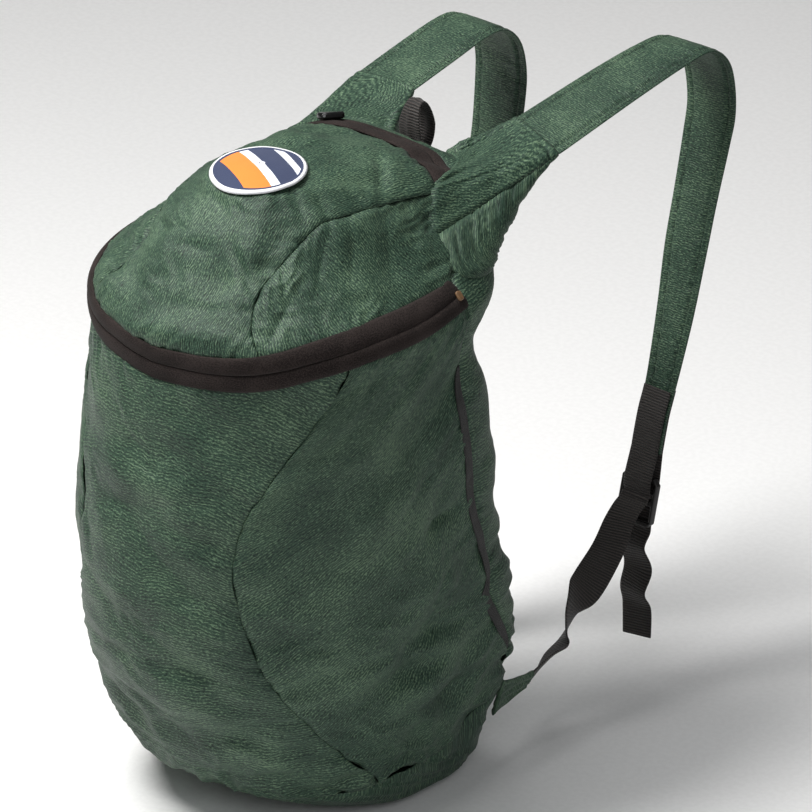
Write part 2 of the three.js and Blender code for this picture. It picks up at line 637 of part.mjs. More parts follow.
// Wings: short sleeves of cloth that narrow from the bag's back top corners to the strap seams.
// Their root is an oblong on the body, by angle and level, and their tip a thin oblong.
const WING_SIDES = 20;
const WING_ROWS = 6;
const WING_SQUARENESS = 0.55;
const WING_RISE_POWER = 0.8;
const WING_RISE_EASE = 0.4;
const WING_ROOT = { degrees: 62, spread: 19.5, low: 0.822, high: 0.938 };
const wingTips = {
  right: { across: 0.519, behind: 0.231, level: 0.948, turn: -13, tilt: -9 },
  left: { across: 0.519, behind: 0.204, level: 0.951, turn: 0, tilt: 3 },
};

function wingGeometry(side) {
  const sign = sideSign[side];
  const tip = { ...wingTips[side], centre: behindBack(wingTips[side], side) };
  const squared = (value) => Math.sign(value) * Math.abs(value) ** WING_SQUARENESS;
  const middleLevel = (WING_ROOT.low + WING_ROOT.high) / 2;
  const ringAt = (inset) => (share) => Array.from({ length: WING_SIDES }, (unused, k) => {
    const round = (2 * Math.PI * k) / WING_SIDES;
    const c = squared(Math.cos(round));
    const s = squared(Math.sin(round));
    const spread = WING_ROOT.spread - THREE.MathUtils.radToDeg(inset / BODY_BACK);
    const rise = (WING_ROOT.high - WING_ROOT.low) / 2 - inset / BODY_HEIGHT;
    const rootDegrees = WING_ROOT.degrees - c * spread;
    const root = cloth(sign > 0 ? rootDegrees : mirrorDegrees(rootDegrees),
      positionOf(sections, 'level', middleLevel + s * rise), WING_LIFT);
    const half = sign * c * (WING_WIDTH / 2 - inset);
    const deep = s * (WING_TIP_DEPTH / 2 - inset);
    const turn = degToRad(tip.turn);
    const tilt = degToRad(tip.tilt);
    const end = tip.centre.clone().add(vec(
      half * Math.cos(turn) * Math.cos(tilt) - deep * Math.sin(tilt),
      half * Math.sin(turn) * Math.cos(tilt),
      half * Math.sin(tilt) + deep,
    ));
    const ease = share * share * (3 - 2 * share);
    const point = root.clone().lerp(end, share);
    point.z = lerp(root.z, end.z, lerp(share, ease, WING_RISE_EASE) ** WING_RISE_POWER);
    return point;
  });
  const rows = steps(WING_ROWS);
  return wall(rows.map(ringAt(0)), rows.map(ringAt(CLOTH)), { ring: true });
}
addPiece('strap_wing_right', wingGeometry('right'), 'nylon');
addPiece('strap_wing_left', wingGeometry('left'), 'nylon');

// Bands: straps and webbing swept along chosen places behind the back. Each row has the compass
// turn of the band's width (0 along +X, 90 along +Y), its tilt, and how broad it is as a share.
const bandColumns = ['across', 'behind', 'level', 'turn', 'tilt', 'broad'];
const strapRoutes = {
  right: table(bandColumns, [
    [0.519, 0.257, 0.95, -13, -9, 1],
    [0.542, 0.57, 0.98, -8, -6, 0.95],
    [0.565, 0.774, 0.998, 0, 0, 0.95],
    [0.573, 0.887, 1.0, 0, 3, 0.96],
    [0.58, 0.959, 0.976, 0, 3, 0.94],
    [0.58, 0.995, 0.934, 0, 2, 0.92],
    [0.588, 1.0, 0.882, 0, 0, 0.88],
    [0.588, 0.977, 0.831, 0, 0, 0.84],
    [0.595, 0.925, 0.749, 0, 0, 0.78],
    [0.603, 0.873, 0.666, 0, 0, 0.75],
    [0.607, 0.83, 0.582, 0, 0, 0.67],
    [0.611, 0.792, 0.52, 0, 0, 0.6],
    [0.611, 0.756, 0.463, 0, 0, 0.54],
    [0.611, 0.724, 0.422, 0, 0, 0.52],
    [0.611, 0.695, 0.368, 0, 0, 0.52],
  ]),
  left: table(bandColumns, [
    [0.519, 0.222, 0.953, 0, 3, 1.04],
    [0.527, 0.389, 0.968, 0, 3, 1.04],
    [0.527, 0.548, 0.983, 0, 3, 1.02],
    [0.527, 0.638, 0.981, 0, 2, 1],
    [0.527, 0.706, 0.955, 0, 0, 0.98],
    [0.527, 0.738, 0.91, 0, 0, 0.96],
    [0.527, 0.738, 0.857, 0, 0, 0.94],
    [0.534, 0.71, 0.76, 0, 0, 0.86],
    [0.55, 0.647, 0.664, 0, 0, 0.78],
    [0.573, 0.566, 0.567, 0, 0, 0.7],
    [0.595, 0.493, 0.482, 0, 0, 0.62],
    [0.611, 0.439, 0.407, 0, 0, 0.54],
    [0.618, 0.398, 0.334, 0, 0, 0.52],
  ]),
};
const routeOf = (rows, side) => rows.map((row) => {
  const { x, y, z } = behindBack(row, side);
  return { ...row, x, y, z };
});

function smoothRoute(rows, count, from = 0, to = 1) {
  const last = rows.length - 1;
  const lengths = [0];
  const fine = 8 * last;
  const pointAt = (position) => vec(...['x', 'y', 'z'].map((name) => column(rows, name, position)));
  for (let k = 1; k <= fine; k += 1) {
    lengths.push(lengths[k - 1] + pointAt((k * last) / fine).distanceTo(pointAt(((k - 1) * last) / fine)));
  }
  return steps(count).map((share) => {
    const wanted = lerp(from, to, share) * lengths[fine];
    let k = 1;
    while (k < fine && lengths[k] < wanted) k += 1;
    const part = (wanted - lengths[k - 1]) / (lengths[k] - lengths[k - 1]);
    const position = ((k - 1 + part) * last) / fine;
    return {
      point: pointAt(position),
      turn: column(rows, 'turn', position),
      tilt: column(rows, 'tilt', position),
      broad: column(rows, 'broad', position),
    };
  });
}

// Sweeps a flat band along a route; lift moves it off the route along its own face
function bandGeometry(stations, width, thickness, { across = 2, lift = 0 } = {}) {
  const layer = (height) => stations.map((station, i) => {
    const before = stations[Math.max(0, i - 1)].point;
    const after = stations[Math.min(stations.length - 1, i + 1)].point;
    const tangent = after.clone().sub(before).normalize();
    const turn = degToRad(station.turn);
    const tilt = degToRad(station.tilt);
    const side = station.side?.clone()
      ?? vec(Math.cos(turn) * Math.cos(tilt), Math.sin(turn) * Math.cos(tilt), Math.sin(tilt));
    side.addScaledVector(tangent, -side.dot(tangent)).normalize();
    const normal = side.clone().cross(tangent).normalize();
    return steps(across).map((u) => station.point.clone()
      .addScaledVector(side, (u - 0.5) * width * station.broad)
      .addScaledVector(normal, lift + height));
  });
  return wall(layer(thickness / 2), layer(-thickness / 2));
}

const STRAP_STATIONS = 44;
for (const side of ['right', 'left']) {
  const stations = smoothRoute(routeOf(strapRoutes[side], side), STRAP_STATIONS);
  addPiece(`strap_${side}`, bandGeometry(stations, STRAP_WIDTH, STRAP_WALL, { across: 3 }), 'strap');
}

// Ladder locks hang from the strap ends; the anchor webbing loops round the top bar and the
// adjuster webbing round the middle bar
const lockPlaces = {
  right: { across: 0.611, behind: 0.656, level: 0.293 },
  left: { across: 0.618, behind: 0.36, level: 0.263 },
};
const LOCK_SLOT = (LOCK_HEIGHT - 3 * LOCK_BAR) / 2;
const LOCK_PITCH = LOCK_BAR + LOCK_SLOT;

// Lock frame: u across, v up along the lock, w out of its front face
function lockFrame(side) {
  const lean = degToRad(LOCK_LEAN_DEGREES);
  const across = vec(1, 0, 0);
  const up = vec(0, Math.sin(lean), Math.cos(lean));
  const front = across.clone().cross(up).normalize();
  const centre = behindBack(lockPlaces[side], side);
  return {
    matrix: new THREE.Matrix4().makeBasis(across, up, front).setPosition(centre),
    at: (u, v, w) => centre.clone().addScaledVector(across, u).addScaledVector(up, v).addScaledVector(front, w),
  };
}

// A closed outline through corners given from the centre
function outline(kind, corners) {
  const path = new kind();
  path.moveTo(...corners[0]);
  corners.slice(1).forEach((corner) => path.lineTo(...corner));
  path.closePath();
  return path;
}

function lockGeometry(side) {
  const [a, b] = [LOCK_WIDTH / 2, LOCK_HEIGHT / 2];
  const [c, d] = [a - LOCK_CORNER, b - LOCK_CORNER];
  const shape = outline(THREE.Shape, [[-c, -b], [c, -b], [a, -d], [a, d], [c, b], [-c, b], [-a, d], [-a, -d]]);
  const half = WEBBING_WIDTH / 2 + WEBBING_CLEARANCE;
  for (const middle of [-LOCK_PITCH / 2, LOCK_PITCH / 2]) {
    const [low, high] = [middle - LOCK_SLOT / 2, middle + LOCK_SLOT / 2];
    shape.holes.push(outline(THREE.Path, [[-half, low], [-half, high], [half, high], [half, low]]));
  }
  const geometry = new THREE.ExtrudeGeometry(shape, {
    depth: LOCK_WALL - 2 * LOCK_BEVEL, bevelEnabled: true, bevelThickness: LOCK_BEVEL, bevelSize: LOCK_BEVEL,
    bevelOffset: -LOCK_BEVEL, bevelSegments: 1,
  });
  geometry.translate(0, 0, LOCK_BEVEL - LOCK_WALL / 2);
  geometry.applyMatrix4(lockFrame(side).matrix);
  return geometry;
}

// A loop of webbing round a bar of the lock, as a route in the lock's own frame
function barLoop(frame, barAt) {
  const radius = Math.hypot(LOCK_BAR, LOCK_WALL) / 2 + WEBBING_WALL / 2 + SURFACE_GAP;
  return (degrees) => frame.at(0, barAt + Math.sin(degToRad(degrees)) * radius,
    Math.cos(degToRad(degrees)) * radius);
}
const flat = (point, turn = 0, tilt = 0, broad = 1) => ({ point, turn, tilt, broad });

// The anchor's two legs lie on both faces of the strap's last stretch
const ANCHOR_START_SHARE = 0.9;
function anchorGeometry(side) {
  const frame = lockFrame(side);
  const loop = barLoop(frame, LOCK_PITCH);
  const strapEnd = smoothRoute(routeOf(strapRoutes[side], side), 4, ANCHOR_START_SHARE, 1);
  const lift = STRAP_WALL / 2 + SURFACE_GAP + WEBBING_WALL / 2;
  const leg = (sign) => strapEnd.map(({ point }) => flat(point.clone().add(vec(0, -sign * lift, 0))));
  const stations = [
    ...leg(1),
    ...[10, -40, -90, -140, -190].map((degrees) => flat(loop(degrees))),
    ...leg(-1).reverse(),
  ];
  return bandGeometry(stations, WEBBING_WIDTH, WEBBING_WALL, { across: 2 });
}

// Adjuster webbing: from the tab up to the lock, round the middle bar, and down as a free tail.
// The tail's rows are shares of its drop, aside and behind and down from where it leaves the lock.
const loadRoutes = {
  right: table(bandColumns, [
    [0.786, 0.036, 0.116, 190, -60, 0.7], [0.74, 0.14, 0.122, 184, -50, 1], [0.71, 0.235, 0.135, 142, -10, 1],
    [0.695, 0.299, 0.182, 100, 0, 1], [0.679, 0.385, 0.208, 60, 0, 1], [0.649, 0.489, 0.24, 22, 0, 1],
    [0.622, 0.557, 0.27, 6, 0, 1], [0.613, 0.602, 0.287, 0, 0, 1],
  ]),
  left: table(bandColumns, [
    [0.786, 0.027, 0.116, -10, 60, 0.7], [0.763, 0.079, 0.117, -8, 40, 0.9], [0.733, 0.136, 0.135, -5, 14, 1],
    [0.687, 0.204, 0.18, 0, 0, 1], [0.649, 0.262, 0.218, 0, 0, 1], [0.626, 0.299, 0.246, 0, 0, 1],
  ]),
};
const tailColumns = ['aside', 'behind', 'drop', 'turn'];
const tailRoutes = {
  right: table(tailColumns, [
    [0, -0.014, 0.08, 0], [0, -0.071, 0.207, -4], [0.034, -0.037, 0.402, 4], [0.017, -0.083, 0.598, -4],
    [0.034, -0.048, 0.759, 6], [0.057, -0.071, 1, 4],
  ]),
  left: table(tailColumns, [
    [0, -0.02, 0.1, 0], [0, -0.067, 0.216, 4], [-0.011, -0.032, 0.4, -4], [0, -0.078, 0.595, 4],
    [-0.011, -0.055, 0.745, -4], [-0.023, -0.078, 0.952, 0],
  ]),
};
const tailFrom = (start, rows, side) => rows.map((row) => ({
  x: start.x + sideSign[side] * row.aside * TAIL_DROP,
  y: start.y + row.behind * TAIL_DROP,
  z: start.z - row.drop * TAIL_DROP,
  turn: row.turn,
  tilt: 0,
  broad: 1,
}));

function adjusterGeometry(side) {
  const frame = lockFrame(side);
  const loop = barLoop(frame, 0);
  const start = frame.at(0, -LOCK_PITCH, -LOCK_WALL / 2 - WEBBING_WALL);
  const stations = [
    ...smoothRoute(routeOf(loadRoutes[side], side), 14),
    ...[0, 45, 90, 135, 180].map((degrees) => flat(loop(degrees))),
    flat(start),
    ...smoothRoute(tailFrom(start, tailRoutes[side], side), 14),
  ];
  return bandGeometry(stations, WEBBING_WIDTH, WEBBING_WALL, { across: 2 });
}

for (const side of ['right', 'left']) {
  addPiece(`ladder_lock_${side}`, lockGeometry(side), 'plastic');
  addPiece(`webbing_anchor_${side}`, anchorGeometry(side), 'webbing');
  addPiece(`adjuster_webbing_${side}`, adjusterGeometry(side), 'webbing');
}

// Gathered cloth tabs sewn into the back bottom corners hold the lower ends of the webbing
const TAB_DEGREES = 43;
const TAB_LEVEL = 0.118;
const TAB_LIFT = { right: 2.5, left: 1.8 };
const TAB_TIP_GAP = 3 * SURFACE_GAP;
const TAB_TAPER_POWER = 0.6;
function tabGeometry(side) {
  const degrees = side === 'right' ? TAB_DEGREES : mirrorDegrees(TAB_DEGREES);
  const place = [degrees, positionOf(sections, 'level', TAB_LEVEL)];
  const root = cloth(...place, TAB_LIFT[side]);
  const normal = normalAt(...place);
  const steep = normal.clone().cross(vec(0, 0, 1).cross(normal)).normalize();
  const load = loadRoutes[side][0];
  const [turn, tilt] = [degToRad(load.turn), degToRad(load.tilt)];
  const tipSide = vec(Math.cos(turn) * Math.cos(tilt), Math.sin(turn) * Math.cos(tilt), Math.sin(tilt));
  if (tipSide.dot(steep) < 0) tipSide.negate();
  const tip = behindBack(load, side);
  tip.addScaledVector(tip.clone().sub(behindBack(loadRoutes[side][1], side)).normalize(), TAB_TIP_GAP);
  const stations = steps(5).map((share) => ({
    point: root.clone().lerp(tip, share),
    side: steep.clone().lerp(tipSide, share),
    broad: lerp(TAB_ROOT_WIDTH / WEBBING_WIDTH, load.broad, share ** TAB_TAPER_POWER),
  }));
  return bandGeometry(stations, WEBBING_WIDTH, TAB_WALL, { across: 2 });
}
addPiece('webbing_tab_right', tabGeometry('right'), 'nylon');
addPiece('webbing_tab_left', tabGeometry('left'), 'nylon');

// Grab loop: a folded webbing standing at the back top edge between the wings. It runs round from
// a half turn share to another, starts in front of its seam and is pinched narrower at the top.
const GRAB_ROOT_LEVEL = backTopLevel - 0.012;
const GRAB_TURN = { from: -0.5, to: 1.2 };
const GRAB_SEAM = { back: 0.73, rise: 0.95 };
const GRAB_TOP_SHARE = 0.6;
function grabGeometry() {
  const root = cloth(90, positionOf(sections, 'level', GRAB_ROOT_LEVEL), WEBBING_WALL);
  const stations = steps(12).map((share) => {
    const turn = lerp(GRAB_TURN.from, GRAB_TURN.to, share) * Math.PI;
    const point = root.clone().add(vec(GRAB_ASIDE, (GRAB_DEPTH / 2) * (GRAB_SEAM.back + Math.cos(turn)),
      (GRAB_HEIGHT / 2) * (GRAB_SEAM.rise + Math.sin(turn))));
    return flat(point, 0, 0, lerp(1, GRAB_TOP_SHARE, Math.max(0, Math.sin(turn))));
  });
  return bandGeometry(stations, GRAB_WIDTH, WEBBING_WALL, { across: 2 });
}
addPiece('grab_loop', grabGeometry(), 'webbing');

// The origin is set on the back panel's outer face at the top centre
const hang = cloth(90, positionOf(sections, 'level', upperLevels[UPPER_ROWS / 2]));
body.position.copy(hang.negate());
model.updateMatrixWorld(true);

export default model;
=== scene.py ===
"""A packable backpack of crinkled parachute nylon, stuffed full, with its shoulder straps arched as worn.

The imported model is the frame. Every piece here is modelled in metres in the frame's own axes: +X is the
bag's right side, +Y points to the wearer's back and +Z is up.
"""

import math
from functools import cache, partial

import bmesh
import bpy
import numpy as np
from bpy.props import FloatProperty, FloatVectorProperty, PointerProperty
from mathutils import Matrix, Vector


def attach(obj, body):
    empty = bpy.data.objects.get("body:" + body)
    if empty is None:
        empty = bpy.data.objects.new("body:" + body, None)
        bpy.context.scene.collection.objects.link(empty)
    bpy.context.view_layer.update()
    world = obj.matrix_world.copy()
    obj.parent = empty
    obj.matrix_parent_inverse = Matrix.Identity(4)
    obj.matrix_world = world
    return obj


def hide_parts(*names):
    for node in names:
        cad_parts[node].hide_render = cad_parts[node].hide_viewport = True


bl_info = {
    "name": "Packable backpack",
    "version": (1, 0, 0),
    "blender": (4, 5, 0),
    "location": "View3D > Sidebar > Backpack",
    "description": "Dresses the packed model of a stuffed nylon daypack with cloth, zips, straps and webbing",
    "category": "Object",
}

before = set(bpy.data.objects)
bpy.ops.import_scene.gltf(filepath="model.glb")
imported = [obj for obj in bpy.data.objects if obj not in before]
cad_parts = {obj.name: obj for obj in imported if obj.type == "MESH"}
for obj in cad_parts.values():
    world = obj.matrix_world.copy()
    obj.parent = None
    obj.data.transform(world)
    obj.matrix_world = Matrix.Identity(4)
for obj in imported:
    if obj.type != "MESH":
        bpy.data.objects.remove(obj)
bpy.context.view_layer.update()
MM = 0.001


def linear(hex_colour):
    """An sRGB hex colour as linear red, green, blue and an alpha of 1."""
    channels = [int(hex_colour[k:k + 2], 16) / 255 for k in (1, 3, 5)]
    return tuple(c / 12.92 if c <= 0.04045 else ((c + 0.055) / 1.055) ** 2.4 for c in channels) + (1.0,)


# Sizes of the bag in millimetres, the same as in the solids

BODY_HEIGHT = 467
BODY_HALF_WIDTH = 131
BODY_FRONT = 147
BODY_BACK = 129
TOP_ZIP_HALF_LENGTH = 73
TOP_ZIP_WIDTH = 23
TOP_ZIP_SET_BACK = 94
TOP_ZIP_BOW = 14
PATCH_DIAMETER = 65
PATCH_CENTRE_BACK = -0.17
STRAP_ARCH = 221
STRAP_WIDTH, STRAP_WALL, STRAP_TUCK = 51, 3.2, 10
WING_WIDTH, WING_TIP_DEPTH = 52, 7
WEBBING_WIDTH, WEBBING_WALL = 25, 1.6
LOCK_HEIGHT, LOCK_WALL, LOCK_BAR, LOCK_LEAN = 36, 5, 5, 14
LOCK_PITCH = (LOCK_HEIGHT - LOCK_BAR) / 2
TAIL_DROP = 87
TAB_ROOT_WIDTH, TAB_WALL, TAB_DEGREES, TAB_LEVEL = 32, 3, 43, 0.118
GRAB_WIDTH, GRAB_HEIGHT, GRAB_DEPTH, GRAB_ASIDE = 20, 34, 15.3, -5
RIBBON_WIDTH = 8.5
STITCH_LINES = (6.2, 2.4)
TAPE_WALL, TAPE_CROWN, TOP_TAPE_CROWN, TOP_TAPE_SINK = 1.2, 1.6, 1.2, 0.8
SIDES = {"right": 1, "left": -1}
MIRROR = np.array([-1, 1, 1])

# Horizontal sections from the base up: level, shift, half width, front, back, front square, back square
SECTIONS = np.array([
    [0.0, 0.23, 0.015, 0.014, 0.015, 2.0, 2.0],
    [0.004, 0.2, 0.67, 0.374, 0.465, 2.2, 4.0],
    [0.03, 0.1, 0.786, 0.54, 0.713, 2.2, 4.5],
    [0.075, 0.03, 0.847, 0.69, 0.822, 2.2, 5.0],
    [0.15, 0.0, 0.9, 0.825, 0.977, 2.2, 5.0],
    [0.225, 0.0, 0.954, 0.918, 1.0, 2.2, 5.0],
    [0.321, 0.0, 0.985, 0.98, 0.938, 2.2, 5.0],
    [0.439, 0.0, 1.0, 1.0, 0.814, 2.2, 5.0],
    [0.557, 0.0, 1.0, 0.973, 0.76, 2.2, 5.0],
    [0.664, 0.0, 0.985, 0.912, 0.69, 2.2, 5.0],
    [0.739, 0.0, 0.97, 0.878, 0.64, 2.2, 5.0],
    [0.809, 0.0, 0.965, 0.885, 0.82, 2.2, 5.0],
    [0.857, 0.0, 0.81, 0.76, 0.93, 2.2, 5.5],
    [0.9, 0.0, 0.65, 0.645, 0.99, 2.1, 6.0],
    [0.93, 0.0, 0.56, 0.565, 1.01, 2.1, 6.0],
    [0.951, 0.02, 0.49, 0.515, 0.86, 2.2, 4.5],
    [0.97, 0.0, 0.4, 0.43, 0.64, 2.2, 3.5],
    [0.988, -0.09, 0.29, 0.28, 0.42, 2.2, 2.4],
    [0.997, -0.14, 0.15, 0.14, 0.19, 2.0, 2.0],
    [1.0, -0.15, 0.015, 0.014, 0.015, 2.0, 2.0],
])

# Folds pressed into the cloth: degrees, level, lean, length, width, depth
FOLDS = [
    [66, 0.958, 10, 22, 9, 4.5],
    [-56, 0.905, 20, 34, 9, 3.5],
    [-30, 0.92, -30, 34, 10, 3],
    [-75, 0.87, 8, 40, 12, 2.5],
    [-110, 0.86, -10, 40, 12, 2.5],
    [8, 0.7, 60, 45, 14, 3.5],
    [172, 0.7, -60, 45, 14, 3.5],
    [-20, 0.58, 75, 60, 16, 3],
    [-95, 0.62, 85, 70, 16, 2.5],
    [-140, 0.5, 70, 60, 16, 3],
    [-50, 0.34, 75, 60, 18, 3],
    [-10, 0.24, 50, 50, 14, 3.5],
    [190, 0.24, -50, 50, 14, 3.5],
    [30, 0.12, 20, 36, 12, 4],
    [150, 0.12, -20, 36, 12, 4],
    [75, 0.5, 80, 60, 18, 3],
    [105, 0.3, 80, 60, 18, 3],
]

# Finer creases than the solids have, in the same columns; the first list shows on both sides
SIDE_CREASES = [
    [-60, 0.857, -37, 12, 4, 1.5], [18, 0.965, 38, 9, 3.5, 2], [-20, 0.965, 9, 15, 4, 1.5],
    [-28, 0.912, 31, 22, 7, 1.8], [-12, 0.909, 31, 25, 8, 1.6], [-48, 0.852, 26, 18, 6, 2.2],
    [10, 0.905, 29, 25, 8, 1.2], [35, 0.909, 25, 15, 7, 1.4], [9, 0.491, 77, 14, 6, 2.6],
    [11, 0.329, -90, 10, 4, 2.4], [-46, 0.367, -63, 32, 16, 2.2], [-40, 0.286, 76, 21, 12, 2.4],
    [-2, 0.255, 86, 57, 14, 3.6], [10, 0.185, 87, 55, 12, 3.4], [-16, 0.136, -85, 39, 10, 2.4],
    [11, 0.305, -82, 47, 12, 3], [-28, 0.455, -62, 44, 24, 1.8], [-1, 0.601, -27, 41, 20, 1.6],
    [60, 0.42, 80, 40, 9, 2.6], [64, 0.25, -80, 36, 10, 3], [50, 0.6, 70, 44, 12, 2.2],
]
FRONT_CREASES = [
    [-64, 0.903, -32, 19, 3.5, 3], [51, 0.975, 65, 27, 4.5, 4], [12, 0.97, 8, 11, 4, 2.4],
    [-35, 0.971, 5, 18, 4, 1.2], [-112, 0.921, 51, 25, 7, 1.5], [-92, 0.918, 79, 18, 6, 1.6],
    [-114, 0.854, 89, 25, 9, 1.6], [-74, 0.841, -9, 17, 6, 0.8], [-90, 0.495, -56, 59, 20, 3.5],
    [-76, 0.433, -48, 36, 14, 2.6], [-90, 0.58, 36, 48, 22, 2], [-113, 0.455, -26, 21, 8, 1.6],
    [-97, 0.332, -54, 31, 16, 3], [-74, 0.294, -53, 32, 12, 2.6], [-88, 0.179, -56, 32, 12, 2.6],
    [-60, 0.104, 82, 38, 9, 2.4], [-130, 0.3, 60, 40, 14, 2.6], [-125, 0.2, 75, 36, 12, 2.6],
    [95, 0.62, 85, 60, 12, 2.4], [82, 0.7, -75, 50, 9, 2], [100, 0.45, 70, 55, 12, 2.6], [80, 0.3, -80, 60, 14, 3],
    [98, 0.2, 80, 50, 12, 2.6],
]

# Seams as level and degrees, and level lines as degrees from the front and level
FRONT_SEAM = np.array([
    [0.06, -13], [0.094, -16], [0.133, -26], [0.206, -39], [0.272, -49], [0.332, -55], [0.405, -59],
    [0.469, -61], [0.55, -58], [0.61, -51], [0.672, -42], [0.741, -31], [0.775, -27],
])
BACK_SEAM = np.array([
    [0.13, 44], [0.19, 42], [0.238, 38], [0.274, 34], [0.302, 31], [0.334, 28], [0.373, 28], [0.413, 27],
    [0.458, 24], [0.503, 22], [0.565, 20], [0.623, 19], [0.692, 18], [0.775, 20], [0.82, 21.5], [0.845, 22.5],
    [0.865, 33], [0.895, 48], [0.93, 58],
])
BASE_SEAM = np.array([
    [0, 0.05], [55, 0.062], [84, 0.076], [106, 0.082], [114, 0.094], [120, 0.11], [126, 0.125], [134, 0.142],
    [150, 0.142], [180, 0.134],
])
ZIP_LOWER = np.array([
    [0, 0.742], [28, 0.752], [41, 0.762], [54, 0.777], [74, 0.79], [93, 0.795], [104, 0.804], [112, 0.812],
])
ZIP_UPPER = np.array([
    [0, 0.79], [28, 0.802], [41, 0.813], [54, 0.826], [74, 0.836], [93, 0.838], [104, 0.84], [112, 0.844],
])
ZIP_END_DEGREES = 21
LID_SEAM = np.array([
    [0.6, -0.722], [0.5, -0.69], [0.435, -0.6], [0.43, -0.524], [0.455, -0.354], [0.46, -0.17], [0.487, -0.02],
    [0.518, 0.29], [0.545, 0.53], [0.56, 0.66], [0.575, 0.735],
])
LID_SEAM_START_DEGREES = -54
LID_SEAM_CORNER = 2
LID_SEAM_ZIP = 8
LID_SEAM_ZIP_END = 9

# Straps and webbing behind the back: across as a share of the half width, behind as a share of the
# strap's arch, level as a share of the height, turn and tilt of the width in degrees, broad as a share
# A wing's root on the body, by angle and level: near its seam ridge, near below, far below, far above
WING_ROOT = np.array([[45, 0.951], [20, 0.832], [81.5, 0.822], [81.5, 0.938]])
# How far a wing follows the cloth it leaves, and the strap it reaches, as shares of its length
WING_LEAVE, WING_ARRIVE = 1.0, 0.9
WING_TIPS = {"right": (0.519, 0.231, 0.948, -13, -9), "left": (0.519, 0.204, 0.951, 0, 3)}
STRAP_ROUTES = {
    "right": [
        [0.519, 0.257, 0.95, -13, -9, 1], [0.542, 0.57, 0.98, -8, -6, 0.95], [0.565, 0.774, 0.998, 0, 0, 0.95],
        [0.573, 0.887, 1.0, 0, 3, 0.96], [0.58, 0.959, 0.976, 0, 3, 0.94], [0.58, 0.995, 0.934, 0, 2, 0.92],
        [0.588, 1.0, 0.882, 0, 0, 0.88], [0.588, 0.977, 0.831, 0, 0, 0.84], [0.595, 0.925, 0.749, 0, 0, 0.78],
        [0.603, 0.873, 0.666, 0, 0, 0.75], [0.607, 0.83, 0.582, 0, 0, 0.67], [0.611, 0.792, 0.52, 0, 0, 0.6],
        [0.611, 0.756, 0.463, 0, 0, 0.54], [0.611, 0.724, 0.422, 0, 0, 0.52], [0.611, 0.695, 0.368, 0, 0, 0.52],
    ],
    "left": [
        [0.519, 0.222, 0.953, 0, 3, 1.04], [0.527, 0.389, 0.968, 0, 3, 1.04], [0.527, 0.548, 0.983, 0, 3, 1.02],
        [0.527, 0.638, 0.981, 0, 2, 1], [0.527, 0.706, 0.955, 0, 0, 0.98], [0.527, 0.738, 0.91, 0, 0, 0.96],
        [0.527, 0.738, 0.857, 0, 0, 0.94], [0.534, 0.71, 0.76, 0, 0, 0.86], [0.55, 0.647, 0.664, 0, 0, 0.78],
        [0.573, 0.566, 0.567, 0, 0, 0.7], [0.595, 0.493, 0.482, 0, 0, 0.62], [0.611, 0.439, 0.407, 0, 0, 0.54],
        [0.618, 0.398, 0.334, 0, 0, 0.52],
    ],
}
LOCK_PLACES = {"right": (0.611, 0.656, 0.293), "left": (0.618, 0.36, 0.263)}
LOAD_ROUTES = {
    "right": [
        [0.786, 0.036, 0.116, 190, -60, 0.7], [0.74, 0.14, 0.122, 184, -50, 1], [0.71, 0.235, 0.135, 142, -10, 1],
        [0.695, 0.299, 0.182, 100, 0, 1], [0.679, 0.385, 0.208, 60, 0, 1], [0.649, 0.489, 0.24, 22, 0, 1],
        [0.622, 0.557, 0.27, 6, 0, 1], [0.613, 0.602, 0.287, 0, 0, 1],
    ],
    "left": [
        [0.786, 0.027, 0.116, -10, 60, 0.7], [0.763, 0.079, 0.117, -8, 40, 0.9], [0.733, 0.136, 0.135, -5, 14, 1],
        [0.687, 0.204, 0.18, 0, 0, 1], [0.649, 0.262, 0.218, 0, 0, 1], [0.626, 0.299, 0.246, 0, 0, 1],
    ],
}
# Free tails, as shares of their drop: aside, behind, drop and turn in degrees
TAIL_ROUTES = {
    "right": [
        [0, -0.014, 0.08, 0], [0, -0.071, 0.207, -4], [0.034, -0.037, 0.402, 4], [0.017, -0.083, 0.598, -4],
        [0.034, -0.048, 0.759, 6], [0.057, -0.071, 1, 4],
    ],
    "left": [
        [0, -0.02, 0.1, 0], [0, -0.067, 0.216, 4], [-0.011, -0.032, 0.4, -4], [0, -0.078, 0.595, 4],
        [-0.011, -0.055, 0.745, -4], [-0.023, -0.078, 0.952, 0],
    ],
}


# Reading the tables


def read_rows(rows, position):
    """Reads a table of rows smoothly at positions between them."""
    position = np.asarray(position, float)
    last = len(rows) - 1
    i = np.clip(np.floor(position).astype(int), 0, last - 1)
    f = (position - i)[..., None]
    a, b = rows[np.clip(i - 1, 0, last)], rows[i]
    c, d = rows[i + 1], rows[np.clip(i + 2, 0, last)]
    return b + 0.5 * f * (c - a + f * (2 * a - 5 * b + 4 * c - d + f * (3 * (b - c) + d - a)))


def position_of(rows, value):
    """The position in a table where its first column, which rises, reaches a value."""
    value = np.asarray(value, float)
    low, high = np.zeros(value.shape), np.full(value.shape, len(rows) - 1.0)
    for _ in range(36):
        middle = (low + high) / 2
        below = read_rows(rows[:, :1], middle)[..., 0] < value
        low, high = np.where(below, middle, low), np.where(below, high, middle)
    return (low + high) / 2


def look_up(rows, value):
    return read_rows(rows[:, 1:2], position_of(rows, value))[..., 0]


def level_on(line, degrees):
    from_front = np.abs((np.asarray(degrees, float) + 270) % 360 - 180)
    return look_up(line, np.minimum(from_front, line[-1, 0]))


def lerp(a, b, share):
    return a + (b - a) * share


def unit(vectors):
    return vectors / np.maximum(np.linalg.norm(vectors, axis=-1, keepdims=True), 1e-9)


# The bag's surface, in millimetres from the centre of its base


